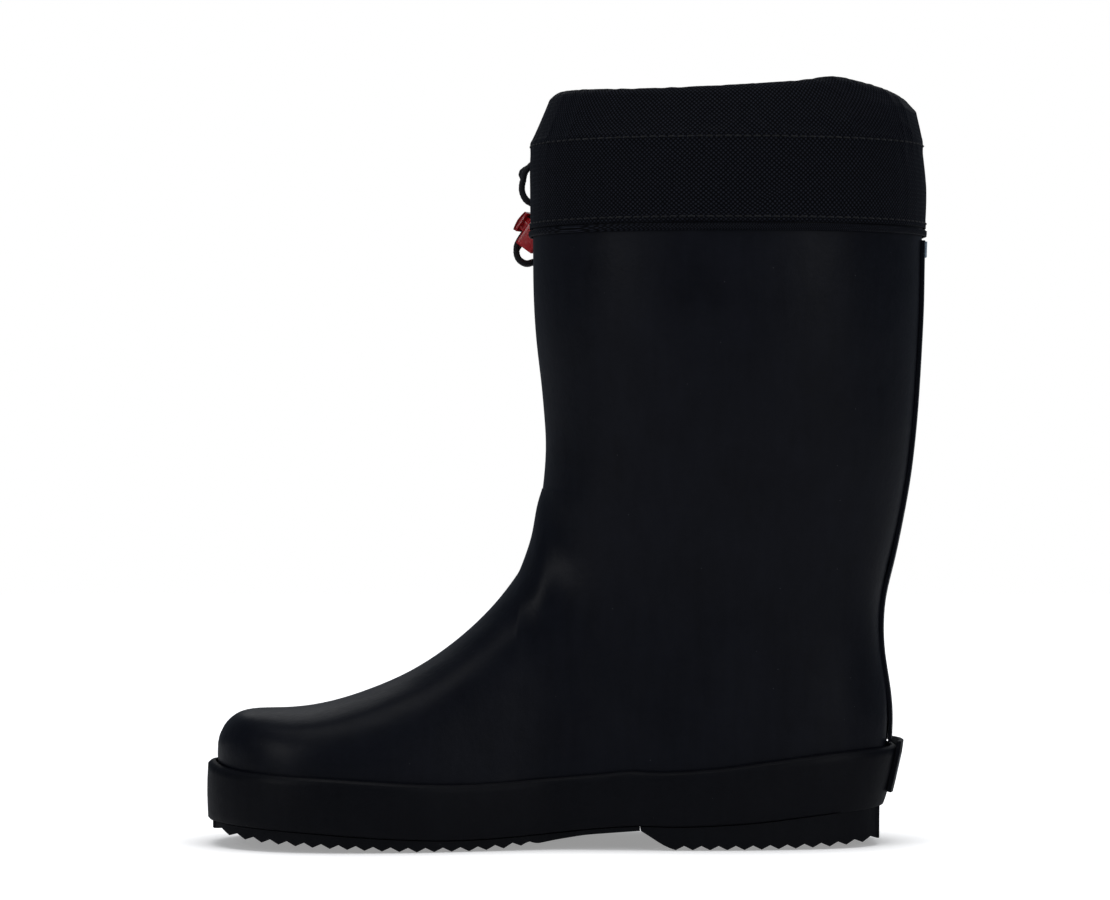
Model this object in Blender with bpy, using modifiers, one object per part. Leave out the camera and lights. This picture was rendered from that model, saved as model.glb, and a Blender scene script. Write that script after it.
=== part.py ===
"""A child's rubber rain boot with a woven cuff, a drawcord and a spring cord lock.

The boot stands on its sole with the toe toward -X and its medial side toward -Y.
Profiles are fractions: of FOOT_LENGTH along X, of BOOT_HEIGHT along Z.
"""

import functools
import math

import bmesh
import bpy
import numpy as np
from mathutils import Matrix, Vector

FOOT_LENGTH = 0.2186
BOOT_HEIGHT = 0.238
LEG_WIDTH = 0.097
BALL_WIDTH = 0.0745
GAP = 0.0003
SKIN_CLEAR = 0.0007
INNER_CLEAR = 0.0019
LINING_CLEAR = 0.0005
COUNTER_CLEAR = 0.0054
STRIP_CLEAR = 0.0002

RUBBER = 0.0022
LINING = 0.0009
BAND = 0.0023
BAND_BEVEL = 0.0011
PATCH = 0.0014
STRIP = 0.001
STRIP_WIDTH = 0.019
BOARD = 0.0013
FOOTBED = 0.004
COUNTER = 0.0008
TREAD_PITCH = 0.0053
TREAD_DEPTH = 0.0013
TREAD_INSET = 0.0009

FABRIC = 0.0005
CUFF_CLEAR = 0.0005
CUFF_BOTTOM = 0.797
HEM_HEIGHT = 0.0021
CHANNEL_SEAM = 0.922
THREAD = 0.0005

CORD = 0.002
EYELET_HOLE = 0.0034
EYELET_RIM = 0.0066
EYELET_THICK = 0.0007
EYELET_LEVEL = 0.945
EYELET_APART = 0.0095

LOCK_SIDE = 0.37 * LEG_WIDTH
LOCK_LENGTH = 0.0128
LOCK_WIDTH = 0.0118
LOCK_DEPTH = 0.007
BAR_LENGTH = 0.0069
BAR_WIDTH = 0.011
BAR_THICK = 0.0017
JAW_OPENING = 0.0018
JAW_LEG = 0.0016
BUTTON_THICK = 0.0013
PRESS = 0.0015
CORD_OUT = JAW_OPENING - GAP - CORD / 2
STRAND = CORD / 2 + 0.0004
LEG_ACROSS = STRAND + CORD / 2 + GAP + JAW_LEG / 2 + 0.0003
LEG_LENGTH = 0.0046
BACK_ROOM = PRESS + GAP
SPRING_FLOOR = 0.0035
SPRING_RADIUS = 0.0019
SPRING_WIRE = 0.0004
SPRING_TURNS = 4
LOCK_FROM_EYELETS = Vector((-0.02227, 0.00261, -0.02951))
LOCK_TURN = math.radians(20)
LOCK_TILT = math.radians(35.4)

LEG_FRONT = (
    (0.0, 0.01), (0.2, 0.01), (0.3, 0.005), (0.36, -0.006), (0.4, -0.016), (0.437, -0.0205),
    (0.477, -0.016), (0.516, -0.014), (0.556, -0.016), (0.6, -0.02), (0.65, -0.0265),
    (0.715, -0.0315), (0.789, -0.0325), (0.861, -0.0335), (0.9, -0.0335), (0.924, -0.031),
    (0.94, -0.024), (0.956, -0.0165), (0.972, -0.0085), (1.0, 0.006),
)  # fmt: skip
LEG_BACK = (
    (0.0, 0.448), (0.03, 0.4535), (0.054, 0.459), (0.1, 0.471), (0.128, 0.4775), (0.15, 0.4797),
    (0.179, 0.479),
    (0.199, 0.477), (0.238, 0.47), (0.278, 0.467), (0.318, 0.469), (0.358, 0.479),
    (0.417, 0.493), (0.477, 0.505), (0.556, 0.515), (0.636, 0.521), (0.715, 0.525),
    (0.789, 0.5265), (0.834, 0.5295), (0.861, 0.53), (0.9, 0.526), (0.94, 0.52),
    (0.961, 0.514), (0.972, 0.503), (1.0, 0.478),
)  # fmt: skip
LEG_HALF = (
    (0.0, 0.57), (0.1, 0.6), (0.2, 0.6), (0.3, 0.63), (0.4, 0.72), (0.5, 0.83),
    (0.6, 0.92), (0.7, 0.97), (0.8, 0.99), (0.86, 1.0), (0.9, 0.995), (0.95, 0.95),
    (1.0, 0.87),
)  # fmt: skip
LEG_SQUARE = ((0.0, 2.8), (0.25, 2.7), (0.45, 2.3), (0.6, 2.15), (1.0, 2.1))
RIDGE = (
    (-0.49, 0.156), (-0.475, 0.166), (-0.455, 0.1715), (-0.422, 0.1755), (-0.382, 0.1765), (-0.342, 0.181),
    (-0.301, 0.19), (-0.261, 0.203), (-0.22, 0.219),
    (-0.16, 0.253), (-0.12, 0.283), (-0.082, 0.319), (-0.055, 0.352), (-0.036, 0.38),
    (-0.018, 0.404), (0.02, 0.418), (0.4, 0.418),
)  # fmt: skip
FOOT_HALF = (
    (-0.49, 0.8), (-0.42, 0.88), (-0.35, 0.95), (-0.27, 1.0), (-0.2, 0.995), (-0.1, 0.91),
    (0.0, 0.79), (0.1, 0.73), (0.3, 0.72),
)  # fmt: skip
FOOT_BEND = ((-0.49, -0.05), (-0.35, -0.04), (-0.2, -0.005), (-0.05, 0.03), (0.1, 0.02), (0.3, 0.0))
FOXING_TOP = (
    (-0.494, 0.1125), (-0.48, 0.1068), (-0.463, 0.103), (-0.43, 0.1), (-0.398, 0.0985),
    (-0.322, 0.0952), (-0.252, 0.091), (-0.2, 0.0878), (-0.15, 0.0862), (-0.105, 0.0868),
    (-0.062, 0.0892), (0.014, 0.0942), (0.089, 0.1005),
    (0.118, 0.105), (0.122, 0.1015), (0.165, 0.101), (0.232, 0.106), (0.317, 0.116),
    (0.386, 0.124), (0.446, 0.128), (0.49, 0.131),
)  # fmt: skip
FOXING_FOOT = (
    (-0.492, 0.033), (-0.344, 0.025), (-0.24, 0.018), (-0.136, 0.0145), (-0.049, 0.018),
    (0.001, 0.022), (0.065, 0.028), (0.117, 0.031), (0.165, 0.03), (0.232, 0.032),
    (0.269, 0.034), (0.363, 0.043), (0.412, 0.048), (0.49, 0.055),
)  # fmt: skip
SOLE_FOOT = (
    (-0.5, 0.0265), (-0.485, 0.0225), (-0.467, 0.0178), (-0.445, 0.0142), (-0.414, 0.011), (-0.332, 0.006), (-0.253, 0.002),
    (-0.194, 0.0), (-0.116, 0.0), (-0.077, 0.002), (-0.018, 0.009), (0.001, 0.0125),
    (0.044, 0.019), (0.117, 0.0245), (0.12, 0.0245), (0.152, 0.006), (0.166, 0.0), (0.26, 0.0),
    (0.34, 0.001), (0.397, 0.003), (0.437, 0.006), (0.49, 0.011),
)  # fmt: skip
UPPER_FLOOR = (
    (-0.49, 0.056), (-0.42, 0.05), (-0.3, 0.039), (-0.15, 0.032), (-0.02, 0.036),
    (0.12, 0.046), (0.3, 0.056), (0.49, 0.064),
)  # fmt: skip
CUFF_TOP = (
    (0.0, 0.986), (0.1, 0.981), (0.25, 0.984), (0.35, 0.991), (0.41, 0.998), (0.45, 0.993),
    (0.5, 0.984),
)  # fmt: skip

BAND_LEVEL = 0.085
TOE_END = -0.4845
TOE_ROUND = 0.17
FOOT_END = 0.34
ARCH_SQUARE = 2.35
ARCH_SPREAD = 1.18
TOE_BLEND = 0.009
ANKLE_BLEND = 0.013
FLOOR_BLEND = 0.006
BREAST = 0.1185
FOREFOOT_END = -0.02
TOPLINE = 0.836
PIVOT = (-0.05, 0.47)
AXIS_REACH = 0.26
LEG_RINGS = 9
FAN_RINGS = 10
FOOT_RINGS = 13
SEGMENTS = 36
CUFF_SEGMENTS = 60
BAND_SIDE = 26
BAND_ARC = 22

COLOURS = {
    "rubber": ((0.006, 0.007, 0.012), 0.42, 0.0),
    "lining": ((0.09, 0.09, 0.1), 0.9, 0.0),
    "nylon": ((0.012, 0.012, 0.014), 0.6, 0.0),
    "red": ((0.45, 0.005, 0.01), 0.25, 0.0),
    "cord": ((0.01, 0.01, 0.011), 0.75, 0.0),
    "steel": ((0.55, 0.55, 0.56), 0.3, 1.0),
    "black metal": ((0.02, 0.02, 0.02), 0.35, 1.0),
    "reflective": ((0.5, 0.6, 0.72), 0.5, 0.0),
    "label": ((0.45, 0.6, 0.75), 0.8, 0.0),
    "board": ((0.35, 0.28, 0.2), 0.9, 0.0),
    "foam": ((0.1, 0.11, 0.14), 0.9, 0.0),
}


def clear_scene():
    for thing in list(bpy.data.objects):
        bpy.data.objects.remove(thing, do_unlink=True)


def collection(name, hidden=False):
    made = bpy.data.collections.new(name)
    made.hide_render = hidden
    bpy.context.scene.collection.children.link(made)
    return made


def material(part_name, look):
    made = bpy.data.materials.new(part_name + " " + look)
    made.use_nodes = True
    shader = made.node_tree.nodes["Principled BSDF"]
    colour, roughness, metallic = COLOURS[look]
    shader.inputs["Base Color"].default_value = (*colour, 1.0)
    shader.inputs["Roughness"].default_value = roughness
    shader.inputs["Metallic"].default_value = metallic
    made.diffuse_color = (*colour, 1.0)
    return made


def add(name, data, look):
    made = bpy.data.objects.new(name, data)
    PARTS.objects.link(made)
    data.materials.append(material(name, look))
    return made


def cutter(name, data):
    made = bpy.data.objects.new(name, data)
    made.hide_render = True
    made.display_type = "WIRE"
    CUTTERS.objects.link(made)
    return made


def curve_value(points, at):
    """A smooth curve through (place, value) points, read at one place or many."""
    place, value = np.array(points, float).T
    slope = np.gradient(value, place)
    at = np.clip(at, place[0], place[-1])
    i = np.clip(np.searchsorted(place, at) - 1, 0, len(place) - 2)
    span = place[i + 1] - place[i]
    t = (at - place[i]) / span
    bend = slope[i] * span * (t**3 - 2 * t**2 + t) + slope[i + 1] * span * (t**3 - t**2)
    return bend + value[i] * (2 * t**3 - 3 * t**2 + 1) + value[i + 1] * (3 * t**2 - 2 * t**3)


def line_value(points, at):
    place, value = np.array(points, float).T
    return np.interp(at, place, value)


def smooth_min(a, b, width):
    near = np.maximum(width - np.abs(a - b), 0.0) / width
    return np.minimum(a, b) - near**2 * width / 4


def smooth_max(a, b, width):
    return -smooth_min(-a, -b, width)


def leg_form(p):
    tall = p[:, 2] / BOOT_HEIGHT
    front = curve_value(LEG_FRONT, tall) * FOOT_LENGTH
    back = curve_value(LEG_BACK, tall) * FOOT_LENGTH
    half = curve_value(LEG_HALF, tall) * LEG_WIDTH / 2
    power = line_value(LEG_SQUARE, tall)
    along = np.abs((p[:, 0] - (front + back) / 2) / ((back - front) / 2))
    return (along**power + np.abs(p[:, 1] / half) ** power) ** (1 / power) - 1


def plan_form(p):
    """The foot seen from above, extruded up and down."""
    long = p[:, 0] / FOOT_LENGTH
    half = curve_value(FOOT_HALF, long) * BALL_WIDTH / 2
    middle = curve_value(FOOT_BEND, long) * BALL_WIDTH
    toe = np.maximum(1 - (long - TOE_END) / TOE_ROUND, 0.0)
    ankle = np.maximum(1 - (FOOT_END - long) / TOE_ROUND, 0.0)
    power = ARCH_SQUARE
    return (np.abs((p[:, 1] - middle) / half) ** power + toe**power + ankle**power) ** (1 / power) - 1


def arch_form(p):
    """The foot's arched top over its sides, extruded past the toe."""
    long = p[:, 0] / FOOT_LENGTH
    half = curve_value(FOOT_HALF, long) * BALL_WIDTH / 2 * ARCH_SPREAD
    middle = curve_value(FOOT_BEND, long) * BALL_WIDTH
    ridge = curve_value(RIDGE, long) * BOOT_HEIGHT
    widest = curve_value(FOXING_TOP, long) * BOOT_HEIGHT * 0.8
    rise = np.maximum(p[:, 2] - widest, 0.0) / np.maximum(ridge - widest, 1e-4)
    power = ARCH_SQUARE
    return (np.abs((p[:, 1] - middle) / half) ** power + rise**power) ** (1 / power) - 1


def as_distance(form, p):
    """The form's value over its slope, which is close to a distance near its surface."""
    step = 0.0002
    value = form(p)
    slope = np.zeros_like(p)
    for k in range(3):
        shift = np.zeros(3)
        shift[k] = step
        slope[:, k] = (form(p + shift) - form(p - shift)) / (2 * step)
    return value / np.maximum(np.linalg.norm(slope, axis=1), 1e-6)


def wall_level(p):
    """About the distance outside the upper's side walls, with no floor."""
    leg = as_distance(leg_form, p)
    foot = smooth_max(as_distance(plan_form, p), as_distance(arch_form, p), TOE_BLEND)
    return smooth_min(leg, foot, ANKLE_BLEND)


def floor_height(x):
    return curve_value(UPPER_FLOOR, x / FOOT_LENGTH) * BOOT_HEIGHT


def upper_level(p):
    """About the distance outside the upper's skin."""
    return smooth_max(wall_level(p), floor_height(p[:, 0]) - p[:, 2], FLOOR_BLEND)


def leg_level(p):
    return as_distance(leg_form, p)


def cast(level, origins, directions, outset):
    """The distance along each ray to where the level reaches outset."""
    origins = np.atleast_2d(np.asarray(origins, float))
    directions = np.atleast_2d(np.asarray(directions, float))
    directions = directions / np.linalg.norm(directions, axis=1)[:, None]
    count = max(len(origins), len(directions))
    origins = np.broadcast_to(origins, (count, 3))
    directions = np.broadcast_to(directions, (count, 3))
    near = np.zeros(count)
    found = np.zeros(count, bool)
    stride = 0.006
    while not found.all() and near.max() < FOOT_LENGTH + BOOT_HEIGHT:
        outside = level(origins + directions * (near + stride)[:, None]) > outset
        found |= outside
        near = np.where(found, near, near + stride)
    far = near + stride
    for _ in range(17):
        middle = (near + far) / 2
        outside = level(origins + directions * middle[:, None]) > outset
        far = np.where(outside, middle, far)
        near = np.where(outside, near, middle)
    return near


def hit(level, origins, directions, outset):
    unit = np.atleast_2d(np.asarray(directions, float))
    unit = unit / np.linalg.norm(unit, axis=1)[:, None]
    return np.atleast_2d(origins) + unit * cast(level, origins, unit, outset)[:, None]


def sections(level, inside, rear, outset, segments):
    """Rings of points round the form, each in the plane through inside that holds Y and the rear way."""
    count = len(inside)
    side = np.array([[0.0, 1.0, 0.0]])
    both = np.concatenate([inside, inside])
    back, front = cast(level, both, np.concatenate([rear, -rear]), outset).reshape(2, -1, 1)
    middle = inside + rear * (back - front) / 2
    sides = np.repeat(np.concatenate([side, -side]), count, axis=0)
    left, right = cast(level, np.concatenate([middle, middle]), sides, outset).reshape(2, -1, 1)
    middle = middle + side * (left - right) / 2
    angle = (np.arange(segments) * 2 * math.pi / segments)[None, :, None]
    ways = -np.cos(angle) * (rear * (back + front) / 2)[:, None, :]
    ways = ways + np.sin(angle) * (side * (left + right) / 2)[:, None, :]
    starts = np.repeat(middle, segments, axis=0)
    return hit(level, starts, ways.reshape(-1, 3), outset).reshape(count, segments, 3)


def toe_tip(level, outset):
    x = TOE_END * FOOT_LENGTH * 0.8
    z = FOXING_TOP[0][1] * BOOT_HEIGHT * 0.8
    y = curve_value(FOOT_BEND, x / FOOT_LENGTH) * BALL_WIDTH
    return hit(level, [[x, y, z]], [[-1.0, 0.0, 0.0]], outset)[0][0]


def sock_rings(outset, top):
    """Rings down the leg, round the ankle and along the foot to the toe."""
    inside = []
    rear = []
    turn_x = PIVOT[0] * FOOT_LENGTH
    turn_z = PIVOT[1] * BOOT_HEIGHT
    reach = AXIS_REACH * FOOT_LENGTH
    for z in np.linspace(top, turn_z, LEG_RINGS):
        inside.append([turn_x + reach, 0.0, z])
        rear.append([1.0, 0.0, 0.0])
    foot_reach = turn_z - foot_middle(turn_x)
    for share in np.linspace(0.0, 1.0, FAN_RINGS + 2)[1:-1]:
        angle = share * math.pi / 2
        out = reach + (foot_reach - reach) * share
        inside.append([turn_x + math.cos(angle) * out, 0.0, turn_z - math.sin(angle) * out])
        rear.append([math.cos(angle), 0.0, -math.sin(angle)])
    end = toe_tip(upper_level, outset) + 0.0004
    for share in np.linspace(0.0, 1.0, FOOT_RINGS):
        x = end + (turn_x - end) * math.cos(share * math.pi / 2) ** 2
        inside.append([x, foot_centre(x), foot_middle(x)])
        rear.append([0.0, 0.0, -1.0])
    return sections(upper_level, np.array(inside), np.array(rear), outset, SEGMENTS)


def foot_middle(x):
    return (curve_value(RIDGE, x / FOOT_LENGTH) * BOOT_HEIGHT + floor_height(x)) / 2


def foot_centre(x):
    return curve_value(FOOT_BEND, x / FOOT_LENGTH) * BALL_WIDTH


def mesh_from(name, points, faces):
    made = bpy.data.meshes.new(name)
    made.from_pydata([tuple(p) for p in points], [], faces)
    made.validate()
    return made


def strip_faces(rows, columns, wrap):
    """Quads between neighbouring rows of a grid, each row closed if wrap."""
    faces = []
    for i in range(rows - 1):
        for j in range(columns if wrap else columns - 1):
            k = (j + 1) % columns
            faces.append((i * columns + j, i * columns + k, (i + 1) * columns + k, (i + 1) * columns + j))
    return faces


def tidy(mesh, outward=True):
    """Joins points that coincide and turns the faces of a closed mesh outward."""
    work = bmesh.new()
    work.from_mesh(mesh)
    bmesh.ops.remove_doubles(work, verts=work.verts, dist=1e-6)
    bmesh.ops.dissolve_degenerate(work, edges=work.edges, dist=1e-6)
    if outward:
        bmesh.ops.recalc_face_normals(work, faces=work.faces)
    work.to_mesh(mesh)
    work.free()
    return mesh


def smooth(thing):
    for face in thing.data.polygons:
        face.use_smooth = True
    return thing


def closed_loft(name, rings, loop=False):
    """A closed mesh from rings of points: end to end with two caps, or joined in a loop."""
    columns = len(rings[0])
    points = np.concatenate(rings)
    faces = strip_faces(len(rings), columns, True)
    if loop:
        last = (len(rings) - 1) * columns
        for j in range(columns):
            k = (j + 1) % columns
            faces.append((last + j, last + k, k, j))
    else:
        faces.append(tuple(range(columns)))
        faces.append(tuple(len(points) - 1 - j for j in range(columns)))
    return tidy(mesh_from(name, points, faces))


def add_solidify(thing, thickness, even=True):
    made = thing.modifiers.new("Thickness", "SOLIDIFY")
    made.thickness = thickness
    made.offset = -1.0
    made.use_even_offset = even
    return made


def add_bevel(thing, width, segments=2):
    made = thing.modifiers.new("Edges", "BEVEL")
    made.width = width
    made.segments = segments
    made.limit_method = "ANGLE"
    made.angle_limit = math.radians(40)
    return made


def add_boolean(thing, other, operation):
    made = thing.modifiers.new(operation.title(), "BOOLEAN")
    made.object = other
    made.operation = operation
    made.solver = "EXACT"
    return made


def sheet_faces_out(mesh, inside):
    """Turns an open sheet's faces away from a point inside it."""
    work = bmesh.new()
    work.from_mesh(mesh)
    bmesh.ops.recalc_face_normals(work, faces=work.faces)
    total = sum((f.calc_center_median() - inside).dot(f.normal) * f.calc_area() for f in work.faces)
    if total < 0:
        bmesh.ops.reverse_faces(work, faces=work.faces)
    work.to_mesh(mesh)
    work.free()
    return mesh


def make_sock(name, outset, thickness, top, look):
    rings = sock_rings(outset, top)
    points = np.concatenate(rings)
    faces = strip_faces(len(rings), SEGMENTS, True)
    faces.append(tuple(len(points) - SEGMENTS + j for j in range(SEGMENTS)))
    mesh = mesh_from(name, points, faces)
    inside = Vector((FOOT_LENGTH * 0.2, 0.0, BOOT_HEIGHT * 0.25))
    thing = add(name, sheet_faces_out(mesh, inside), look)
    add_solidify(thing, thickness)
    return smooth(thing)


def make_back_strip():
    low = FOXING_TOP[-1][1] * BOOT_HEIGHT + GAP + 0.0002
    high = CUFF_BOTTOM * BOOT_HEIGHT - 0.0012
    across = np.linspace(-STRIP_WIDTH / 2, STRIP_WIDTH / 2, 7)
    origins = [[FOOT_LENGTH * 0.3, y, z] for z in np.linspace(low, high, 18) for y in across]
    points = hit(upper_level, origins, [[1.0, 0.0, 0.0]], SKIN_CLEAR + STRIP_CLEAR + STRIP)
    mesh = mesh_from("back_strip", points, strip_faces(18, 7, False))
    mesh = sheet_faces_out(mesh, Vector((0.0, 0.0, BOOT_HEIGHT / 3)))
    thing = add("back_strip", mesh, "rubber")
    add_solidify(thing, STRIP)
    return smooth(thing)


def band_stations():
    """Origins and level directions that go once round the foot."""
    heel = np.array([0.335 * FOOT_LENGTH, 0.0])
    toe = np.array([-0.345 * FOOT_LENGTH, foot_centre(-0.4 * FOOT_LENGTH)])
    stations = []
    for share in np.linspace(0.0, 1.0, BAND_SIDE + 1)[:-1]:
        stations.append((heel + (toe - heel) * share, np.array([0.0, -1.0])))
    for share in np.linspace(0.0, 1.0, BAND_ARC + 1)[:-1]:
        angle = math.pi * share
        stations.append((toe, np.array([-math.sin(angle), -math.cos(angle)])))
    for share in np.linspace(0.0, 1.0, BAND_SIDE + 1)[:-1]:
        stations.append((toe + (heel - toe) * share, np.array([0.0, 1.0])))
    for share in np.linspace(0.0, 1.0, BAND_ARC + 1)[:-1]:
        angle = math.pi * share
        stations.append((heel, np.array([math.sin(angle), math.cos(angle)])))
    return stations


def band_sections():
    """Sections of the foxing band: inner face up, bevelled top edge, outer face down."""
    stations = band_stations()
    origin = np.array([start for start, _ in stations])
    flat = np.array([[*way, 0.0] for _, way in stations])
    level = np.full((len(stations), 1), BAND_LEVEL * BOOT_HEIGHT * 0.8)
    wall = hit(wall_level, np.hstack([origin, level]), flat, SKIN_CLEAR)
    place = wall[:, 0] / FOOT_LENGTH
    low = curve_value(FOXING_FOOT, place) * BOOT_HEIGHT
    high = line_value(FOXING_TOP, place) * BOOT_HEIGHT
    edge = hit(wall_level, np.hstack([origin, high[:, None]]), flat, SKIN_CLEAR)
    up = np.array([[0.0, 0.0, 1.0]])
    foot = hit(wall_level, np.column_stack([origin, low]), flat, SKIN_CLEAR)
    waist = hit(wall_level, np.column_stack([origin, (low + high) / 2]), flat, SKIN_CLEAR)
    outer = [
        edge + flat * (BAND - BAND_BEVEL) - up * 0.0002,
        edge + flat * BAND - up * BAND_BEVEL,
        waist + flat * (BAND + 0.0003),
        foot + flat * BAND + up * 0.0006,
        foot + flat * (BAND - 0.0005),
    ]
    return np.stack([foot, waist, edge, *outer], axis=1)


def make_foxing():
    mesh = closed_loft("foxing_band", list(band_sections()), loop=True)
    return smooth(add("foxing_band", mesh, "rubber"))


def half_widths(level, places, heights, outset):
    """Where the level reaches outset to either side of the foot's middle line."""
    count = len(places)
    origin = np.column_stack([places, foot_centre(np.asarray(places)), heights])
    side = np.array([[0.0, 1.0, 0.0]])
    ways = np.repeat(np.concatenate([-side, side]), count, axis=0)
    reach = hit(level, np.concatenate([origin, origin]), ways, outset)
    return reach[:count, 1], reach[count:, 1]


def slab(name, level, outset, places, low, high):
    """A closed slab: at each place along X a section from low to high, as wide as the level allows."""
    bottom = np.array([low(x) for x in places])
    top = np.array([high(x) for x in places])
    left, right = half_widths(level, places, bottom, outset)
    above_left, above_right = half_widths(level, places, top, outset)
    rings = []
    for k, x in enumerate(places):
        rings.append(
            np.array(
                [
                    [x, left[k], bottom[k]],
                    [x, right[k], bottom[k]],
                    [x, above_right[k], top[k]],
                    [x, above_left[k], top[k]],
                ]
            )
        )
    return closed_loft(name, rings)


def tread_slab(name, places, low, high, outset):
    level = np.full(len(places), BAND_LEVEL * BOOT_HEIGHT * 0.6)
    left, right = half_widths(wall_level, places, level, outset)
    rings = []
    for k, x in enumerate(places):
        quarter = (right[k] - left[k]) / 4
        bottom = [[x, left[k] + quarter * step, low(x)] for step in range(5)]
        top = [[x, right[k], high(x)], [x, left[k], high(x)]]
        rings.append(np.array(bottom + top))
    return closed_loft(name, rings)


def band_foot(x):
    return curve_value(FOXING_FOOT, x / FOOT_LENGTH) * BOOT_HEIGHT


def sole_foot(x):
    return line_value(SOLE_FOOT, x / FOOT_LENGTH) * BOOT_HEIGHT


def wave_foot(x):
    """The forefoot's underside: rounded teeth that fade out at the waist."""
    fade = min(max((FOREFOOT_END * FOOT_LENGTH - x) / TREAD_PITCH, 0.0), 1.0)
    phase = 2 * math.pi * x / TREAD_PITCH
    return sole_foot(x) + fade * TREAD_DEPTH * (0.5 - 0.5 * math.cos(phase))


def tooth_foot(x):
    """The heel's underside: pointed teeth behind the sloped breast."""
    start = (BREAST + 0.05) * FOOT_LENGTH
    if x < start:
        return sole_foot(x)
    phase = (x - start) / TREAD_PITCH % 1.0
    return sole_foot(x) + TREAD_DEPTH * (1 - abs(2 * phase - 1))


def sole_x(level, outset, way, z):
    start = -0.38 if way < 0 else 0.35
    x = start * FOOT_LENGTH
    return hit(level, [[x, foot_centre(x), z]], [[way, 0.0, 0.0]], outset)[0][0]


def make_outsole():
    z = BAND_LEVEL * BOOT_HEIGHT * 0.6
    tread_out = SKIN_CLEAR + BAND - TREAD_INSET
    end = BREAST * FOOT_LENGTH
    front = sole_x(wall_level, tread_out, -1.0, z) + 0.0012
    steps = np.arange(math.ceil(front / TREAD_PITCH * 4), FOREFOOT_END * FOOT_LENGTH / TREAD_PITCH * 4)
    places = [front, *(steps * TREAD_PITCH / 4), *np.linspace(FOREFOOT_END * FOOT_LENGTH, end, 8)]
    tread = tread_slab("outsole", sorted(places), wave_foot, lambda x: band_foot(x) - GAP, tread_out)
    front = sole_x(wall_level, 0.0, -1.0, z) + 0.002
    places = np.linspace(front, end, 24)
    places[0] = front
    inner = slab("outsole core", wall_level, 0.0, places, lambda x: band_foot(x) - 0.0008, core_top)
    thing = add("outsole", tread, "rubber")
    add_boolean(thing, cutter("outsole core", inner), "UNION")
    return thing


def core_top(x):
    return floor_height(x) - GAP


def filler_low(x):
    return band_foot(x) + 0.0016


def make_heel():
    z = BAND_LEVEL * BOOT_HEIGHT * 0.6
    tread_out = SKIN_CLEAR + BAND - TREAD_INSET
    start = BREAST * FOOT_LENGTH + GAP
    rear = sole_x(wall_level, tread_out, 1.0, z) - 0.0012
    first = (BREAST + 0.05) * FOOT_LENGTH
    teeth = np.arange(first, rear, TREAD_PITCH / 2)
    slope = [start, 0.5 * (start + 0.152 * FOOT_LENGTH), 0.152 * FOOT_LENGTH]
    places = sorted([*slope, *teeth, rear])
    places = [x for x, after in zip(places, [*places[1:], 1.0]) if after - x > 0.0004]
    tread = tread_slab("heel_block", places, tooth_foot, lambda x: band_foot(x) - GAP, tread_out)
    core_rear = sole_x(wall_level, 0.0, 1.0, z) - 0.002
    places = np.linspace(start, core_rear, 14)
    core = slab("heel core", wall_level, 0.0, places, lambda x: band_foot(x) - 0.0008, lambda x: filler_low(x) - GAP)
    thing = add("heel_block", tread, "rubber")
    add_boolean(thing, cutter("heel core", core), "UNION")
    filler = slab("heel_filler", wall_level, 0.0, places[1:], filler_low, core_top)
    add("heel_filler", filler, "foam")
    return thing


def make_insoles():
    lift = RUBBER + LINING_CLEAR + LINING + 2 * GAP
    depth = lift + INNER_CLEAR
    board_rise = lift + BOARD
    bed_low = board_rise + GAP
    bed_rise = bed_low + FOOTBED
    for name, low, high, look, inset in (
        ("insole_board", lift, board_rise, "board", depth + 0.004),
        ("footbed", bed_low, bed_rise, "foam", depth + 0.0056),
    ):
        z = floor_height(TOE_END * FOOT_LENGTH) + low
        front = sole_x(upper_level, -depth, -1.0, z) + 0.004
        z = floor_height(0.45 * FOOT_LENGTH) + low
        rear = sole_x(upper_level, -depth, 1.0, z) - 0.0095
        share = (1 - np.cos(np.linspace(0, math.pi, 26))) / 2
        places = front + (rear - front) * share
        mesh = slab(
            name,
            wall_level,
            -inset,
            places,
            lambda x, rise=low: floor_height(x) + rise,
            lambda x, rise=high: floor_height(x) + rise,
        )
        add(name, mesh, look)


def make_counter():
    """A thin stiff cup against the lining round the back of the heel."""
    depth = RUBBER + LINING_CLEAR + LINING + COUNTER_CLEAR
    low = floor_height(0.45 * FOOT_LENGTH) + RUBBER + LINING + 0.0015 + BOARD + FOOTBED
    angles = np.linspace(-0.42 * math.pi, 0.42 * math.pi, 17)
    heights = np.linspace(low, 0.27 * BOOT_HEIGHT, 6)
    origins = [[0.33 * FOOT_LENGTH, 0.0, z] for z in heights for _ in angles]
    ways = [[math.cos(a), math.sin(a), 0.0] for _ in heights for a in angles]
    points = hit(wall_level, origins, ways, -depth)
    mesh = mesh_from("heel_counter", points, strip_faces(6, 17, False))
    mesh = sheet_faces_out(mesh, Vector((0.0, 0.0, low)))
    thing = add("heel_counter", mesh, "board")
    add_solidify(thing, COUNTER)
    return smooth(thing)


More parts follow.
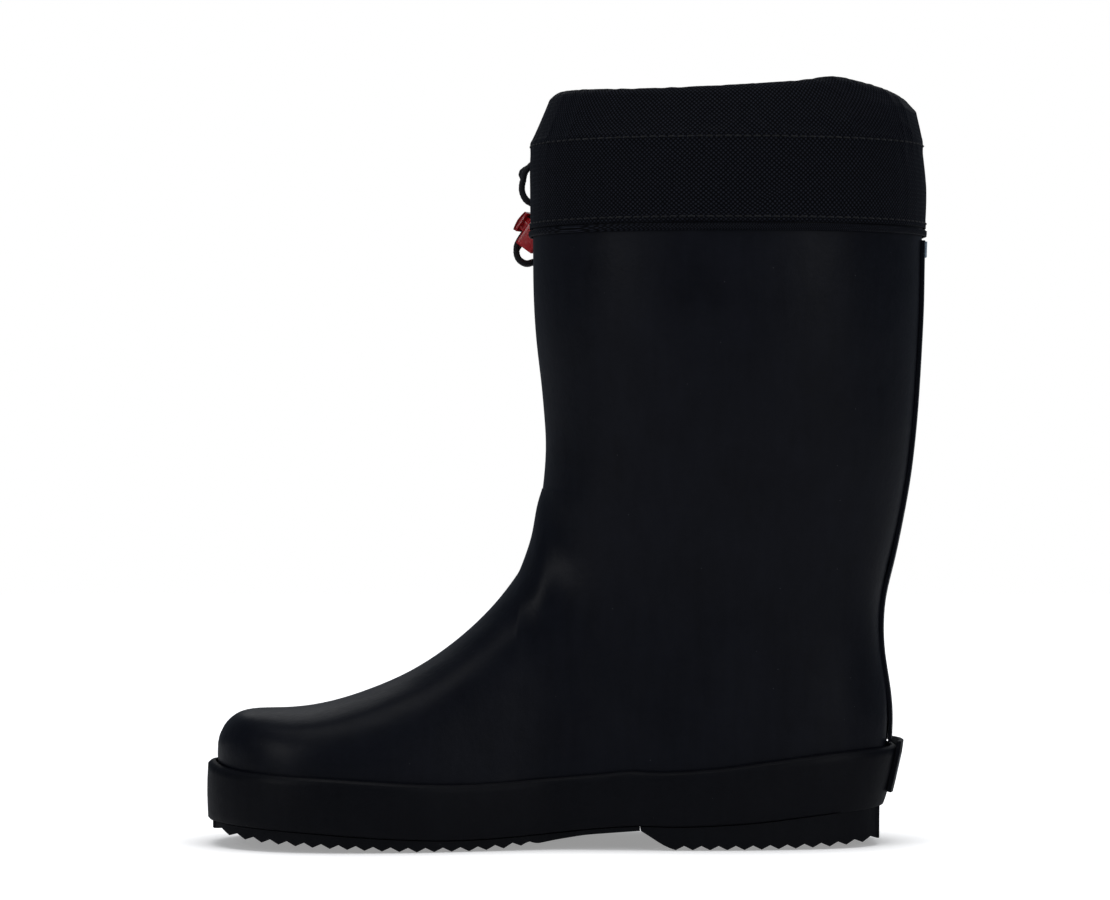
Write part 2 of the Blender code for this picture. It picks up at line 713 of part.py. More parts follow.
def make_heel_patch():
    """A raised patch on the back of the foxing band, with a pale panel let into it."""
    low = band_foot(0.48 * FOOT_LENGTH) + 0.0032
    high = line_value(FOXING_TOP, 0.49) * BOOT_HEIGHT + 0.0008
    height = high - low
    half = 0.0125
    rows = []
    for z in np.linspace(low, high, 5):
        across = [[FOOT_LENGTH * 0.3, y, z] for y in np.linspace(-half, half, 9)]
        rows.append(hit(wall_level, across, [[1.0, 0.0, 0.0]], SKIN_CLEAR + GAP + BAND + 0.0004 + PATCH))
    mesh = mesh_from("heel_patch", np.concatenate(rows), strip_faces(5, 9, False))
    thing = add("heel_patch", sheet_faces_out(mesh, Vector((0.0, 0.0, low))), "rubber")
    add_solidify(thing, PATCH)
    pocket = patch_panel("panel pocket", rows, low + 0.3 * height, low + 0.74 * height, GAP, 0.001)
    add_boolean(thing, cutter("panel pocket", pocket), "DIFFERENCE")
    panel = patch_panel("heel_patch_panel", rows, low + 0.3 * height, low + 0.74 * height, 0.0, 0.0007)
    add("heel_patch_panel", panel, "reflective")


def patch_panel(name, rows, low, high, grow, depth):
    """A curved block that follows the patch, its outer face flush with it or proud by more than grow."""
    proud = 0.0 if grow == 0.0 else 0.002
    heights = [row[0][2] for row in rows]
    ends = []
    for z in (low - grow, high + grow):
        ends.append([np.interp(z, heights, [row[k][0] for row in rows]) for k in range(1, len(rows[0]) - 1)])
    columns = rows[0][1:-1, 1].copy()
    columns[0] -= grow
    columns[-1] += grow
    sections = []
    for y, below, above in zip(columns, *ends):
        sections.append(
            np.array(
                [
                    [below - depth, y, low - grow],
                    [below + proud, y, low - grow],
                    [above + proud, y, high + grow],
                    [above - depth, y, high + grow],
                ]
            )
        )
    return closed_loft(name, sections)


def cuff_directions(segments):
    return np.arange(segments) * 2 * math.pi / segments


def cuff_ring(z, outset, segments=CUFF_SEGMENTS):
    """Level ring round the leg form; z is one height or one for each segment."""
    heights = np.broadcast_to(np.asarray(z, float), (segments,))
    middle = np.array([0.25 * FOOT_LENGTH, 0.0, 0.0])
    angle = cuff_directions(segments)
    ways = np.stack([-np.cos(angle) * 1.25, np.sin(angle), np.zeros(segments)], axis=1)
    origins = np.stack([np.full(segments, middle[0]), np.zeros(segments), heights], axis=1)
    return hit(leg_level, origins, ways, outset)


def cuff_tops():
    rough = cuff_ring(0.97 * BOOT_HEIGHT, 0.0)
    return curve_value(CUFF_TOP, rough[:, 0] / FOOT_LENGTH) * BOOT_HEIGHT


def make_cuff():
    """Woven cuff: the outer wall, folded over at the top into a facing that makes the channel."""
    low = CUFF_BOTTOM * BOOT_HEIGHT + HEM_HEIGHT + GAP
    tops = cuff_tops()
    seam = CHANNEL_SEAM * BOOT_HEIGHT
    outer = CUFF_CLEAR + FABRIC
    room = CORD + 2 * GAP + FABRIC
    wall = [(z, outer) for z in np.linspace(low, seam, 7)]
    shares = ((0.33, 0.0), (0.66, 0.0), (0.9, 0.0), (0.975, -0.0006), (1.0, -0.0016))
    rings = [cuff_ring(z, o) for z, o in wall]
    rings += [cuff_ring(seam + (tops - seam) * share, outer + o) for share, o in shares]
    rings += [
        cuff_ring(seam + (tops - seam) * share, outer - inset)
        for share, inset in ((0.985, 0.0028), (0.9, 0.0036), (0.66, room + 0.0008), (0.2, room + 0.0008))
    ]
    rings += [
        cuff_ring(seam + 0.0006, outer - FABRIC - GAP - FABRIC),
        cuff_ring(seam - 0.003, outer - FABRIC - GAP - FABRIC),
        cuff_ring(seam - 0.003, outer - FABRIC - GAP),
        cuff_ring(seam + 0.0002, outer - FABRIC - GAP),
    ]
    rings += [
        cuff_ring(seam + (tops - seam) * share, outer - inset)
        for share, inset in ((0.2, room), (0.66, room), (0.88, 0.0026), (0.95, 0.0018), (0.95, 0.0012), (0.9, FABRIC))
    ]
    rings += [
        cuff_ring(seam + (tops - seam) * share, outer - FABRIC) for share in (0.66, 0.33)
    ]
    rings += [cuff_ring(z, o - FABRIC) for z, o in reversed(wall)]
    mesh = closed_loft("cuff_fabric", rings, loop=True)
    thing = add("cuff_fabric", mesh, "nylon")
    for k, place in enumerate(eyelet_places()):
        add_boolean(thing, hole_cutter("cord hole %d" % k, place), "DIFFERENCE")
    return smooth(thing)


def eyelet_places():
    """Where the two eyelets sit on the cuff's outer face: place and outward way."""
    z = EYELET_LEVEL * BOOT_HEIGHT
    places = []
    for y in (LOCK_SIDE - EYELET_APART / 2, LOCK_SIDE + EYELET_APART / 2):
        origin = [[0.25 * FOOT_LENGTH, y, z]]
        spot = hit(leg_level, origin, [[-1.0, 0.0, 0.0]], CUFF_CLEAR + FABRIC)[0]
        aside = np.array([0.0, 0.0005, 0.0])
        above = np.array([0.0, 0.0, 0.0005])
        slope = [
            leg_level(spot[None] + shift)[0] - leg_level(spot[None] - shift)[0]
            for shift in (np.array([0.0005, 0.0, 0.0]), aside, above)
        ]
        way = Vector(slope).normalized()
        places.append((Vector(spot), way))
    return places


def disc(name, radius, depth, place, way, offset, sides=24):
    """A cylinder centred offset along way from place."""
    work = bmesh.new()
    bmesh.ops.create_cone(
        work, cap_ends=True, segments=sides, radius1=radius, radius2=radius, depth=depth
    )
    turn = way.to_track_quat("Z", "Y").to_matrix().to_4x4()
    bmesh.ops.transform(work, matrix=Matrix.Translation(place + way * offset) @ turn, verts=work.verts)
    mesh = bpy.data.meshes.new(name)
    work.to_mesh(mesh)
    work.free()
    return mesh


def hole_cutter(name, spot):
    place, way = spot
    return cutter(name, disc(name, EYELET_HOLE / 2, 0.0024, place, way, -FABRIC / 2))


def washer(name, spot, offset, look):
    """A flat metal ring whose middle is offset outward from the cuff's outer face."""
    place, way = spot
    steps = []
    for k in range(28):
        angle = 2 * math.pi * k / 28
        steps.append((math.cos(angle), math.sin(angle)))
    turn = way.to_track_quat("Z", "Y").to_matrix()
    rings = []
    hole = EYELET_HOLE / 2 - GAP
    rim = EYELET_RIM / 2
    half = EYELET_THICK / 2
    for c, s in steps:
        profile = ((hole, -half), (rim, -half), (rim - 0.0002, half * 0.4), (rim - 0.0009, half), (hole + 0.0003, half), (hole, half * 0.5))
        rings.append(
            np.array([place + way * offset + turn @ Vector((c * r, s * r, h)) for r, h in profile])
        )
    return smooth(add(name, closed_loft(name, rings, loop=True), look))


def make_eyelets():
    for name, spot in zip(("eyelet_front", "eyelet_rear"), eyelet_places()):
        washer(name, spot, GAP + EYELET_THICK / 2 + 0.0003, "black metal")


def make_hem():
    low = CUFF_BOTTOM * BOOT_HEIGHT
    high = low + HEM_HEIGHT
    inner = CUFF_CLEAR
    outer = CUFF_CLEAR + FABRIC + 0.0003
    mid = (low + high) / 2
    rings = [
        cuff_ring(low + 0.0002, inner),
        cuff_ring(high - 0.0002, inner),
        cuff_ring(high, (inner + outer) / 2),
        cuff_ring(high - 0.0004, outer),
        cuff_ring(mid, outer + 0.0001),
        cuff_ring(low + 0.0004, outer),
        cuff_ring(low, (inner + outer) / 2),
    ]
    smooth(add("cuff_hem", closed_loft("cuff_hem", rings, loop=True), "nylon"))


def thread_ring(name, z, outset):
    points = cuff_ring(z, outset)
    data = bpy.data.curves.new(name, "CURVE")
    data.dimensions = "3D"
    data.bevel_depth = THREAD / 2
    data.bevel_resolution = 1
    line = data.splines.new("POLY")
    line.points.add(len(points) - 1)
    for spot, point in zip(line.points, points):
        spot.co = (*point, 1.0)
    line.use_cyclic_u = True
    return add(name, data, "cord")


def make_threads():
    outer = CUFF_CLEAR + FABRIC + GAP + THREAD / 2
    z = CUFF_BOTTOM * BOOT_HEIGHT + HEM_HEIGHT + GAP + 0.0009
    thread_ring("cuff_seam_thread", z, outer)
    thread_ring("channel_thread", CHANNEL_SEAM * BOOT_HEIGHT - 0.0012, outer)


def make_topline_tape():
    """Tape inside the leg over the top edge of the rubber and the lining."""
    inside = -(RUBBER + LINING_CLEAR + LINING + GAP)
    high = TOPLINE * BOOT_HEIGHT + 0.002
    low = high - 0.014
    tape = 0.0006
    rings = [
        cuff_ring(low, inside),
        cuff_ring((low + high) / 2, inside),
        cuff_ring(high, inside),
        cuff_ring(high, inside - tape),
        cuff_ring((low + high) / 2, inside - tape),
        cuff_ring(low, inside - tape),
    ]
    smooth(add("topline_tape", closed_loft("topline_tape", rings, loop=True), "nylon"))


def back_block(name, z_low, z_high, half, inner, thickness, look):
    """A small sheet on the back of the leg, outside the given outset."""
    rows = []
    for z in np.linspace(z_low, z_high, 4):
        origins = [[FOOT_LENGTH * 0.3, y, z] for y in np.linspace(-half, half, 5)]
        rows.append(hit(leg_level, origins, [[1.0, 0.0, 0.0]], inner + thickness))
    mesh = mesh_from(name, np.concatenate(rows), strip_faces(4, 5, False))
    thing = add(name, sheet_faces_out(mesh, Vector((0.0, 0.0, z_low))), look)
    add_solidify(thing, thickness)
    return smooth(thing)


def make_labels():
    hem = CUFF_BOTTOM * BOOT_HEIGHT
    outer = CUFF_CLEAR + FABRIC + 0.0004 + GAP
    back_block("back_tag", hem + 0.0002, hem + 0.0024 - 0.0004, 0.003, outer + 0.0002, 0.0008, "nylon")
    strip = SKIN_CLEAR + STRIP_CLEAR + STRIP + GAP
    back_block("back_label", hem - 0.0062, hem - 0.0014, 0.005, strip, 0.0006, "label")


def lock_axes():
    """The lock's own ways: down its cord, outward, and across."""
    down = Vector(
        (
            -math.sin(LOCK_TILT) * math.cos(LOCK_TURN),
            math.sin(LOCK_TILT) * math.sin(LOCK_TURN),
            -math.cos(LOCK_TILT),
        )
    )
    across = Vector((math.sin(LOCK_TURN), math.cos(LOCK_TURN), 0.0))
    out = across.cross(down)
    if out.x > 0:
        out = -out
    return down, out, across


@functools.cache
def lock_place():
    """Where the lock hangs: forward of the eyelets and below them."""
    front, rear = eyelet_places()
    return (front[0] + rear[0]) / 2 + LOCK_FROM_EYELETS


def lock_point(down_by, out_by, across_by):
    down, out, across = lock_axes()
    return lock_place() + down * down_by + out * out_by + across * across_by


def lock_block(name, length, depth, width, out_from, down_at=0.0, across_at=0.0):
    """A block in the lock's frame: it reaches depth inward from out_from."""
    points = []
    for a in (-1, 1):
        for b in (0, 1):
            for c in (-1, 1):
                spot = lock_point(
                    down_at + a * length / 2, out_from - b * depth, across_at + c * width / 2
                )
                points.append(spot)
    faces = [(0, 1, 3, 2), (4, 6, 7, 5), (0, 4, 5, 1), (2, 3, 7, 6), (0, 2, 6, 4), (1, 5, 7, 3)]
    return tidy(mesh_from(name, points, faces))


def make_lock():
    body = add("lock_body", lock_block("lock_body", LOCK_LENGTH, LOCK_DEPTH, LOCK_WIDTH, 0.0), "red")
    add_bevel(body, 0.0011, 3)
    groove = CORD / 2 - CORD_OUT + GAP
    cut = lock_block("cord groove", LOCK_LENGTH * 2, groove + 0.002, 4 * STRAND, 0.002)
    add_boolean(body, cutter("cord groove", cut), "DIFFERENCE")
    for k, side in enumerate((-1, 1)):
        name = "leg slot %d" % k
        slot = lock_block(
            name, LEG_LENGTH + 2 * GAP, LOCK_DEPTH * 2, JAW_LEG + 2 * GAP, 0.003, 0.0, side * LEG_ACROSS
        )
        add_boolean(body, cutter(name, slot), "DIFFERENCE")
    down, out, across = lock_axes()
    pocket = disc(
        "spring pocket", SPRING_RADIUS + SPRING_WIRE / 2 + GAP, LOCK_DEPTH,
        lock_point(0.0, -SPRING_FLOOR, 0.0), out, -LOCK_DEPTH / 2,
    )  # fmt: skip
    add_boolean(body, cutter("spring pocket", pocket), "DIFFERENCE")
    jaw = add("lock_jaw", bar_mesh(), "red")
    reach = JAW_OPENING + BAR_THICK / 2 + LOCK_DEPTH + BACK_ROOM + BUTTON_THICK / 2
    for k, side in enumerate((-1, 1)):
        name = "jaw leg %d" % k
        leg = lock_block(
            name, LEG_LENGTH, reach, JAW_LEG, JAW_OPENING + BAR_THICK / 2, 0.0, side * LEG_ACROSS
        )
        add_boolean(jaw, cutter(name, leg), "UNION")
    button = lock_block(
        "jaw button", BAR_LENGTH, BUTTON_THICK, BAR_WIDTH - 0.001, -LOCK_DEPTH - BACK_ROOM
    )
    add_boolean(jaw, cutter("jaw button", button), "UNION")
    make_spring()


def bar_mesh():
    """The jaw's bar, its outer face rounded along the cord."""
    rings = []
    for a in np.linspace(-1, 1, 9):
        half = BAR_WIDTH / 2
        swell = BAR_THICK * (1 - 0.35 * a * a)
        down_by = a * BAR_LENGTH / 2
        corners = (
            (0.0, -half),
            (0.0, half),
            (swell * 0.7, half),
            (swell, half - 0.0006),
            (swell, 0.0006 - half),
            (swell * 0.7, -half),
        )
        rings.append(np.array([lock_point(down_by, JAW_OPENING + o, c) for o, c in corners]))
    return closed_loft("lock_jaw", rings)


def make_spring():
    start = -SPRING_FLOOR - GAP - SPRING_WIRE / 2
    end = -LOCK_DEPTH - BACK_ROOM + GAP + SPRING_WIRE / 2
    count = SPRING_TURNS * 14
    points = []
    for k in range(count + 1):
        share = k / count
        angle = 2 * math.pi * SPRING_TURNS * share
        points.append(
            lock_point(
                SPRING_RADIUS * math.cos(angle), start + (end - start) * share, SPRING_RADIUS * math.sin(angle)
            )
        )
    tube("lock_spring", points, SPRING_WIRE, "steel", 1)


def tube(name, points, diameter, look, resolution=2):
    data = bpy.data.curves.new(name, "CURVE")
    data.dimensions = "3D"
    data.bevel_depth = diameter / 2
    data.bevel_resolution = resolution
    data.use_fill_caps = True
    line = data.splines.new("POLY")
    line.points.add(len(points) - 1)
    for spot, point in zip(line.points, points):
        spot.co = (*point, 1.0)
    return add(name, data, look)


def smooth_route(route, step):
    """Points about step apart on a smooth curve through the route's points."""
    knots = [Vector(p) for p in route]
    ends = [knots[0] * 2 - knots[1], *knots, knots[-1] * 2 - knots[-2]]
    fine = []
    for a, b, c, d in zip(ends, ends[1:], ends[2:], ends[3:]):
        for k in range(12):
            t = k / 12
            fine.append(
                0.5 * (2 * b + (c - a) * t + (2 * a - 5 * b + 4 * c - d) * t**2 + (3 * b - a - 3 * c + d) * t**3)
            )
    fine.append(knots[-1])
    run = [0.0]
    for a, b in zip(fine, fine[1:]):
        run.append(run[-1] + (b - a).length)
    count = max(2, round(run[-1] / step))
    at = np.linspace(0, run[-1], count + 1)
    table = np.array(fine)
    return [Vector([np.interp(s, run, table[:, k]) for k in range(3)]) for s in at]


def strand(side):
    """One strand's points from its eyelet down to the lock's lower end; side is -1 or 1."""
    place, way = eyelet_places()[0 if side < 0 else 1]
    half = LOCK_LENGTH / 2
    apart = side * STRAND
    lock = lock_place()
    middle = lock.y - 0.0022
    points = [
        place + way * -(FABRIC + GAP + CORD / 2),
        place + way * 0.0022,
        place + way * 0.0052 + Vector((-0.0016, side * -0.0006, -0.0034)),
        Vector((lock.x - 0.0006, middle + apart * 1.5, lock.z + 0.0192)),
        Vector((lock.x - 0.0028, middle + apart * 1.2, lock.z + 0.0148)),
        Vector((lock.x - 0.0031, middle + apart * 1.1, lock.z + 0.011)),
        Vector((lock.x - 0.0012, middle + apart * 1.05, lock.z + 0.0079)),
    ]
    for down_by in (-half - 0.0006, -half + 0.0015, 0.0, half):
        points.append(lock_point(down_by, CORD_OUT, apart))
    return points


def cord_route():
    """The free cord: out of the front eyelet, down through the lock, round and back up."""
    end = lock_point(LOCK_LENGTH / 2, CORD_OUT, 0.0)
    loop = []
    bends = ((-0.0012, -0.0028, 1.25), (-0.0005, -0.0056, 1.6), (0.0018, -0.0071, 1.8), (0.0043, -0.0066, 1.5))
    for x, z, spread in bends:
        loop.append((end + Vector((x, 0.0, z)), spread * STRAND))
    tip = end + Vector((0.0058, 0.0, -0.0058))
    down = [place - Vector((0.0, spread, 0.0)) for place, spread in loop]
    up = [place + Vector((0.0, spread, 0.0)) for place, spread in reversed(loop)]
    return [*strand(-1), *down, tip, *up, *reversed(strand(1))]


def make_cords():
    tube("drawcord", smooth_route(cord_route(), 0.0019), CORD, "cord")
    depth = CUFF_CLEAR - GAP - CORD / 2 - 0.0001
    z = EYELET_LEVEL * BOOT_HEIGHT
    points = cuff_ring(z, depth)
    low = LOCK_SIDE - EYELET_APART / 2 - 0.004
    high = LOCK_SIDE + EYELET_APART / 2 + 0.004
    front = 0.25 * FOOT_LENGTH
    chosen = [k for k, p in enumerate(points) if not (p[0] < front and low < p[1] < high)]
    breaks = [i for i, (a, b) in enumerate(zip(chosen, chosen[1:])) if b != a + 1]
    if breaks:
        cut = breaks[0] + 1
        chosen = chosen[cut:] + chosen[:cut]
    tube("channel_cord", [Vector(points[k]) for k in chosen], CORD, "cord")


def centre_on_origin():
    """Moves everything so that the boot stands on Z = 0 about the origin, its cord left out of the count."""
    bpy.context.view_layer.update()
    graph = bpy.context.evaluated_depsgraph_get()
    low = np.full(3, np.inf)
    high = -low
    for thing in PARTS.objects:
        if thing.name in ("drawcord", "lock_body", "lock_jaw", "lock_spring"):
            continue
        mesh = thing.evaluated_get(graph).to_mesh()
        spots = np.array([thing.matrix_world @ v.co for v in mesh.vertices])
        low = np.minimum(low, spots.min(axis=0))
        high = np.maximum(high, spots.max(axis=0))
    middle = (low + high) / 2
    shift = Vector((-middle[0], -middle[1], -low[2]))
    for thing in [*PARTS.objects, *CUTTERS.objects]:
        thing.location = thing.location + shift


clear_scene()
PARTS = collection("rain boot")
CUTTERS = collection("cutters", hidden=True)
make_sock("upper_shell", 0.0, RUBBER, TOPLINE * BOOT_HEIGHT, "rubber")
make_sock("upper_lining", -RUBBER - LINING_CLEAR, LINING, TOPLINE * BOOT_HEIGHT, "lining")
make_back_strip()
make_foxing()
make_outsole()
make_heel()
make_insoles()
make_counter()
make_heel_patch()
make_cuff()
make_hem()
make_threads()
make_eyelets()
make_topline_tape()
make_labels()
make_lock()
make_cords()
centre_on_origin()
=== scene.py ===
"""A child's rubber rain boot with a nylon drawstring cuff: its looks, lights and camera."""

import math

import bmesh
import bpy
import numpy as np
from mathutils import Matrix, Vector
from mathutils.bvhtree import BVHTree


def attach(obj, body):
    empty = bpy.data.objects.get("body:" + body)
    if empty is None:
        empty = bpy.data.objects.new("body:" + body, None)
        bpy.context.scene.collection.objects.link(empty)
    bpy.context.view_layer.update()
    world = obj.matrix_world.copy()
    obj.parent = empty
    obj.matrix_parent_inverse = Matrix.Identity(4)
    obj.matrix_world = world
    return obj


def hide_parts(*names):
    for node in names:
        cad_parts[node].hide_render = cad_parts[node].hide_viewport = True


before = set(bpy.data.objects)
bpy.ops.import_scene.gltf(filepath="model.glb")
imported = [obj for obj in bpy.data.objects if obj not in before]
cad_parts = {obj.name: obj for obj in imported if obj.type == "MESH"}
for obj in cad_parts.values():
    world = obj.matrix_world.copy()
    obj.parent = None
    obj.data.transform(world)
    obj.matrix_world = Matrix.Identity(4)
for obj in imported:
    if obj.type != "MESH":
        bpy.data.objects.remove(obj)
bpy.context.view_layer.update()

CAMERA_DISTANCE = 1.3
CAMERA_X = -0.0046
CAMERA_HEIGHT = 0.1229
LENS = 133.9

CORD = 0.002
CLOTH_CLEAR = 0.0004
CLOTH_THICKNESS = 0.00035
STITCH_WIDTH = 0.00042
STITCH_HEIGHT = 0.00034
MOST_BUCKLE = 0.0016
MOST_SINK = 0.00025
PUCKER_HEIGHT = 0.0095
PUCKERS = (
    (0.0310, 0.0011, 0.0007),
    (0.0365, 0.0013, 0.0012),
    (0.0410, 0.0010, 0.0009),
    (0.0600, 0.0013, 0.0008),
    (0.0655, 0.0012, 0.0006),
    (0.0150, 0.0014, 0.0005),
)
CUFF_COLUMNS = 288
CUFF_ROWS = 44
FACING_ROWS = 10
RING_COUNT = 1440
LEG_OVAL = 1.25
REACH = 0.12
TOP_SEARCH = (0.205, 0.245)
CHANNEL_Z = 0.2194
HEM_TOP = 0.1921
LEG_MIDDLE = 0.05

ROUTE = (
    (0.0044, 0.0299, 0.2243),
    (0.0018, 0.0326, 0.2257),
    (-0.0018, 0.0353, 0.2233),
    (-0.0127, 0.0342, 0.2146),
    (-0.0149, 0.0346, 0.2102),
    (-0.0152, 0.0348, 0.2064),
    (-0.0133, 0.0348, 0.2033),
    (-0.0091, 0.0359, 0.2014),
    (-0.0103, 0.0364, 0.1997),
    (-0.0129, 0.0373, 0.1957),
    (-0.0164, 0.0386, 0.1905),
    (-0.0171, 0.0382, 0.1877),
    (-0.0164, 0.0377, 0.1849),
    (-0.0141, 0.0374, 0.1834),
    (-0.0116, 0.0378, 0.1839),
    (-0.0101, 0.0399, 0.1847),
    (-0.0116, 0.0420, 0.1839),
    (-0.0141, 0.0424, 0.1834),
    (-0.0164, 0.0421, 0.1849),
    (-0.0171, 0.0417, 0.1877),
    (-0.0154, 0.0412, 0.1905),
    (-0.0120, 0.0400, 0.1957),
    (-0.0093, 0.0390, 0.1997),
    (-0.0082, 0.0386, 0.2014),
    (-0.0133, 0.0378, 0.2033),
    (-0.0152, 0.0378, 0.2064),
    (-0.0149, 0.0380, 0.2102),
    (-0.0127, 0.0384, 0.2146),
    (0.0135, 0.0445, 0.2231),
    (0.0163, 0.0425, 0.2256),
    (0.0180, 0.0391, 0.2244),
)


# ---------------------------------------------------------------- camera, floor and lights


def make_camera():
    data = bpy.data.cameras.new("camera")
    data.sensor_width = 36
    data.lens = LENS
    data.clip_start = 0.05
    thing = bpy.data.objects.new("camera", data)
    thing.location = (CAMERA_X, -CAMERA_DISTANCE, CAMERA_HEIGHT)
    thing.rotation_euler = (math.pi / 2, 0, 0)
    bpy.context.scene.collection.objects.link(thing)
    bpy.context.scene.camera = thing


def area_light(name, place, target, size, power, colour=(1, 1, 1)):
    data = bpy.data.lights.new(name, "AREA")
    data.shape = "RECTANGLE"
    data.size, data.size_y = size
    data.energy = power
    data.color = colour
    thing = bpy.data.objects.new(name, data)
    thing.location = place
    way = Vector(target) - Vector(place)
    thing.rotation_euler = way.to_track_quat("-Z", "Y").to_euler()
    bpy.context.scene.collection.objects.link(thing)
    return thing


def make_world():
    """White where the camera sees it, and dim where it lights the boot."""
    bpy.context.scene.view_settings.view_transform = "Standard"
    world = bpy.data.worlds.new("studio")
    bpy.context.scene.world = world
    world.use_nodes = True
    tree = world.node_tree
    tree.nodes.clear()
    path = tree.nodes.new("ShaderNodeLightPath")
    seen = tree.nodes.new("ShaderNodeBackground")
    seen.inputs["Strength"].default_value = 1.0
    seen.inputs["Color"].default_value = (1, 1, 1, 1)
    fill = tree.nodes.new("ShaderNodeBackground")
    fill.inputs["Color"].default_value = (0.72, 0.83, 1.0, 1)
    fill.inputs["Strength"].default_value = 0.10
    mix = tree.nodes.new("ShaderNodeMixShader")
    out = tree.nodes.new("ShaderNodeOutputWorld")
    tree.links.new(path.outputs["Is Camera Ray"], mix.inputs[0])
    tree.links.new(fill.outputs[0], mix.inputs[1])
    tree.links.new(seen.outputs[0], mix.inputs[2])
    tree.links.new(mix.outputs[0], out.inputs[0])


def make_floor():
    mesh = bpy.data.meshes.new("floor")
    side = 2.2
    corners = [(-side, -side, 0), (side, -side, 0), (side, side, 0), (-side, side, 0)]
    mesh.from_pydata(corners, [], [(0, 1, 2, 3)])
    thing = bpy.data.objects.new("floor", mesh)
    thing.location = (0, 0, -0.0002)
    bpy.context.scene.collection.objects.link(thing)
    look = bpy.data.materials.new("floor")
    look.use_nodes = True
    shader = look.node_tree.nodes["Principled BSDF"]
    shader.inputs["Base Color"].default_value = (0.86, 0.86, 0.87, 1)
    shader.inputs["Roughness"].default_value = 0.9
    shader.inputs["Specular IOR Level"].default_value = 0.1
    shader.inputs["Emission Color"].default_value = (1, 1, 1, 1)
    path = look.node_tree.nodes.new("ShaderNodeLightPath")
    glow = look.node_tree.nodes.new("ShaderNodeMapRange")
    glow.inputs["To Min"].default_value = 0.04
    shade = look.node_tree.nodes.new("ShaderNodeAmbientOcclusion")
    shade.inputs["Distance"].default_value = 0.03
    shadow = look.node_tree.nodes.new("ShaderNodeMapRange")
    shadow.inputs["From Min"].default_value = 0.35
    shadow.inputs["To Min"].default_value = 0.3
    look.node_tree.links.new(shade.outputs["AO"], shadow.inputs["Value"])
    look.node_tree.links.new(shadow.outputs["Result"], glow.inputs["To Max"])
    look.node_tree.links.new(path.outputs["Is Camera Ray"], glow.inputs["Value"])
    look.node_tree.links.new(glow.outputs["Result"], shader.inputs["Emission Strength"])
    mesh.materials.append(look)


def make_lights():
    area_light("top", (0.0, -0.25, 1.5), (0.0, 0.0, 0.1), (1.5, 1.1), 5.4)
    area_light("left front", (-1.15, -1.0, 0.75), (0.0, 0.0, 0.12), (0.35, 0.9), 3.2)
    area_light("right front", (1.0, -1.15, 0.7), (0.02, 0.0, 0.12), (0.4, 0.9), 3.2)
    area_light("back", (0.1, 1.3, 0.9), (0.0, 0.0, 0.1), (1.2, 0.8), 1.6)


# ---------------------------------------------------------------- materials


class Look:
    """A Principled material with short ways to add noise, ramps and bump."""

    def __init__(self, name, colour, roughness, specular=0.5, metallic=0.0):
        self.material = bpy.data.materials.new(name)
        self.material.use_nodes = True
        self.tree = self.material.node_tree
        self.shader = self.tree.nodes["Principled BSDF"]
        self.set("Base Color", (*colour, 1))
        self.set("Roughness", roughness)
        self.set("Specular IOR Level", specular)
        self.set("Metallic", metallic)
        self.coords = self.tree.nodes.new("ShaderNodeTexCoord")
        self.place = self.coords.outputs["Object"]
        self.normal = None

    def set(self, socket, value):
        self.shader.inputs[socket].default_value = value

    def node(self, kind, inputs=(), **settings):
        made = self.tree.nodes.new(kind)
        for key, value in settings.items():
            setattr(made, key, value)
        for key, value in dict(inputs).items():
            if isinstance(value, bpy.types.NodeSocket):
                self.tree.links.new(value, made.inputs[key])
            else:
                made.inputs[key].default_value = value
        return made

    def noise(self, scale, detail=2.0, rough=0.5, where=None):
        made = self.node(
            "ShaderNodeTexNoise",
            {"Vector": where or self.place, "Scale": scale, "Detail": detail, "Roughness": rough},
        )
        return made.outputs["Fac"]

    def stretched(self, factors):
        made = self.node("ShaderNodeVectorMath", {0: self.place, 1: factors}, operation="MULTIPLY")
        return made.outputs[0]

    def math(self, kind, a, b=0.0, c=0.0):
        made = self.node("ShaderNodeMath", {0: a, 1: b, 2: c}, operation=kind)
        return made.outputs[0]

    def remap(self, value, low, high, to_low, to_high):
        made = self.node(
            "ShaderNodeMapRange",
            {"Value": value, "From Min": low, "From Max": high, "To Min": to_low, "To Max": to_high},
        )
        return made.outputs["Result"]

    def blend(self, factor, a, b):
        made = self.node("ShaderNodeMix", data_type="RGBA")
        for key, value in ((0, factor), (6, a), (7, b)):
            if isinstance(value, bpy.types.NodeSocket):
                self.tree.links.new(value, made.inputs[key])
            else:
                made.inputs[key].default_value = value
        return made.outputs[2]

    def tint(self, factor, dark, light):
        """Base colour that runs from dark to light with the factor."""
        self.link("Base Color", self.blend(factor, (*dark, 1), (*light, 1)))

    def link(self, socket, output):
        self.tree.links.new(output, self.shader.inputs[socket])

    def bump(self, height, distance, strength=1.0):
        made = self.node("ShaderNodeBump", {"Height": height, "Distance": distance, "Strength": strength})
        if self.normal:
            self.tree.links.new(self.normal, made.inputs["Normal"])
        self.normal = made.outputs["Normal"]
        self.tree.links.new(self.normal, self.shader.inputs["Normal"])


def specks(look):
    """A few pale dust specks."""
    dots = look.node("ShaderNodeTexVoronoi", {"Vector": look.place, "Scale": 330.0}, feature="F1")
    near = look.math("LESS_THAN", dots.outputs["Distance"], 0.05)
    some = look.math("GREATER_THAN", look.noise(210, 1), 0.6)
    return look.math("MULTIPLY", near, some)


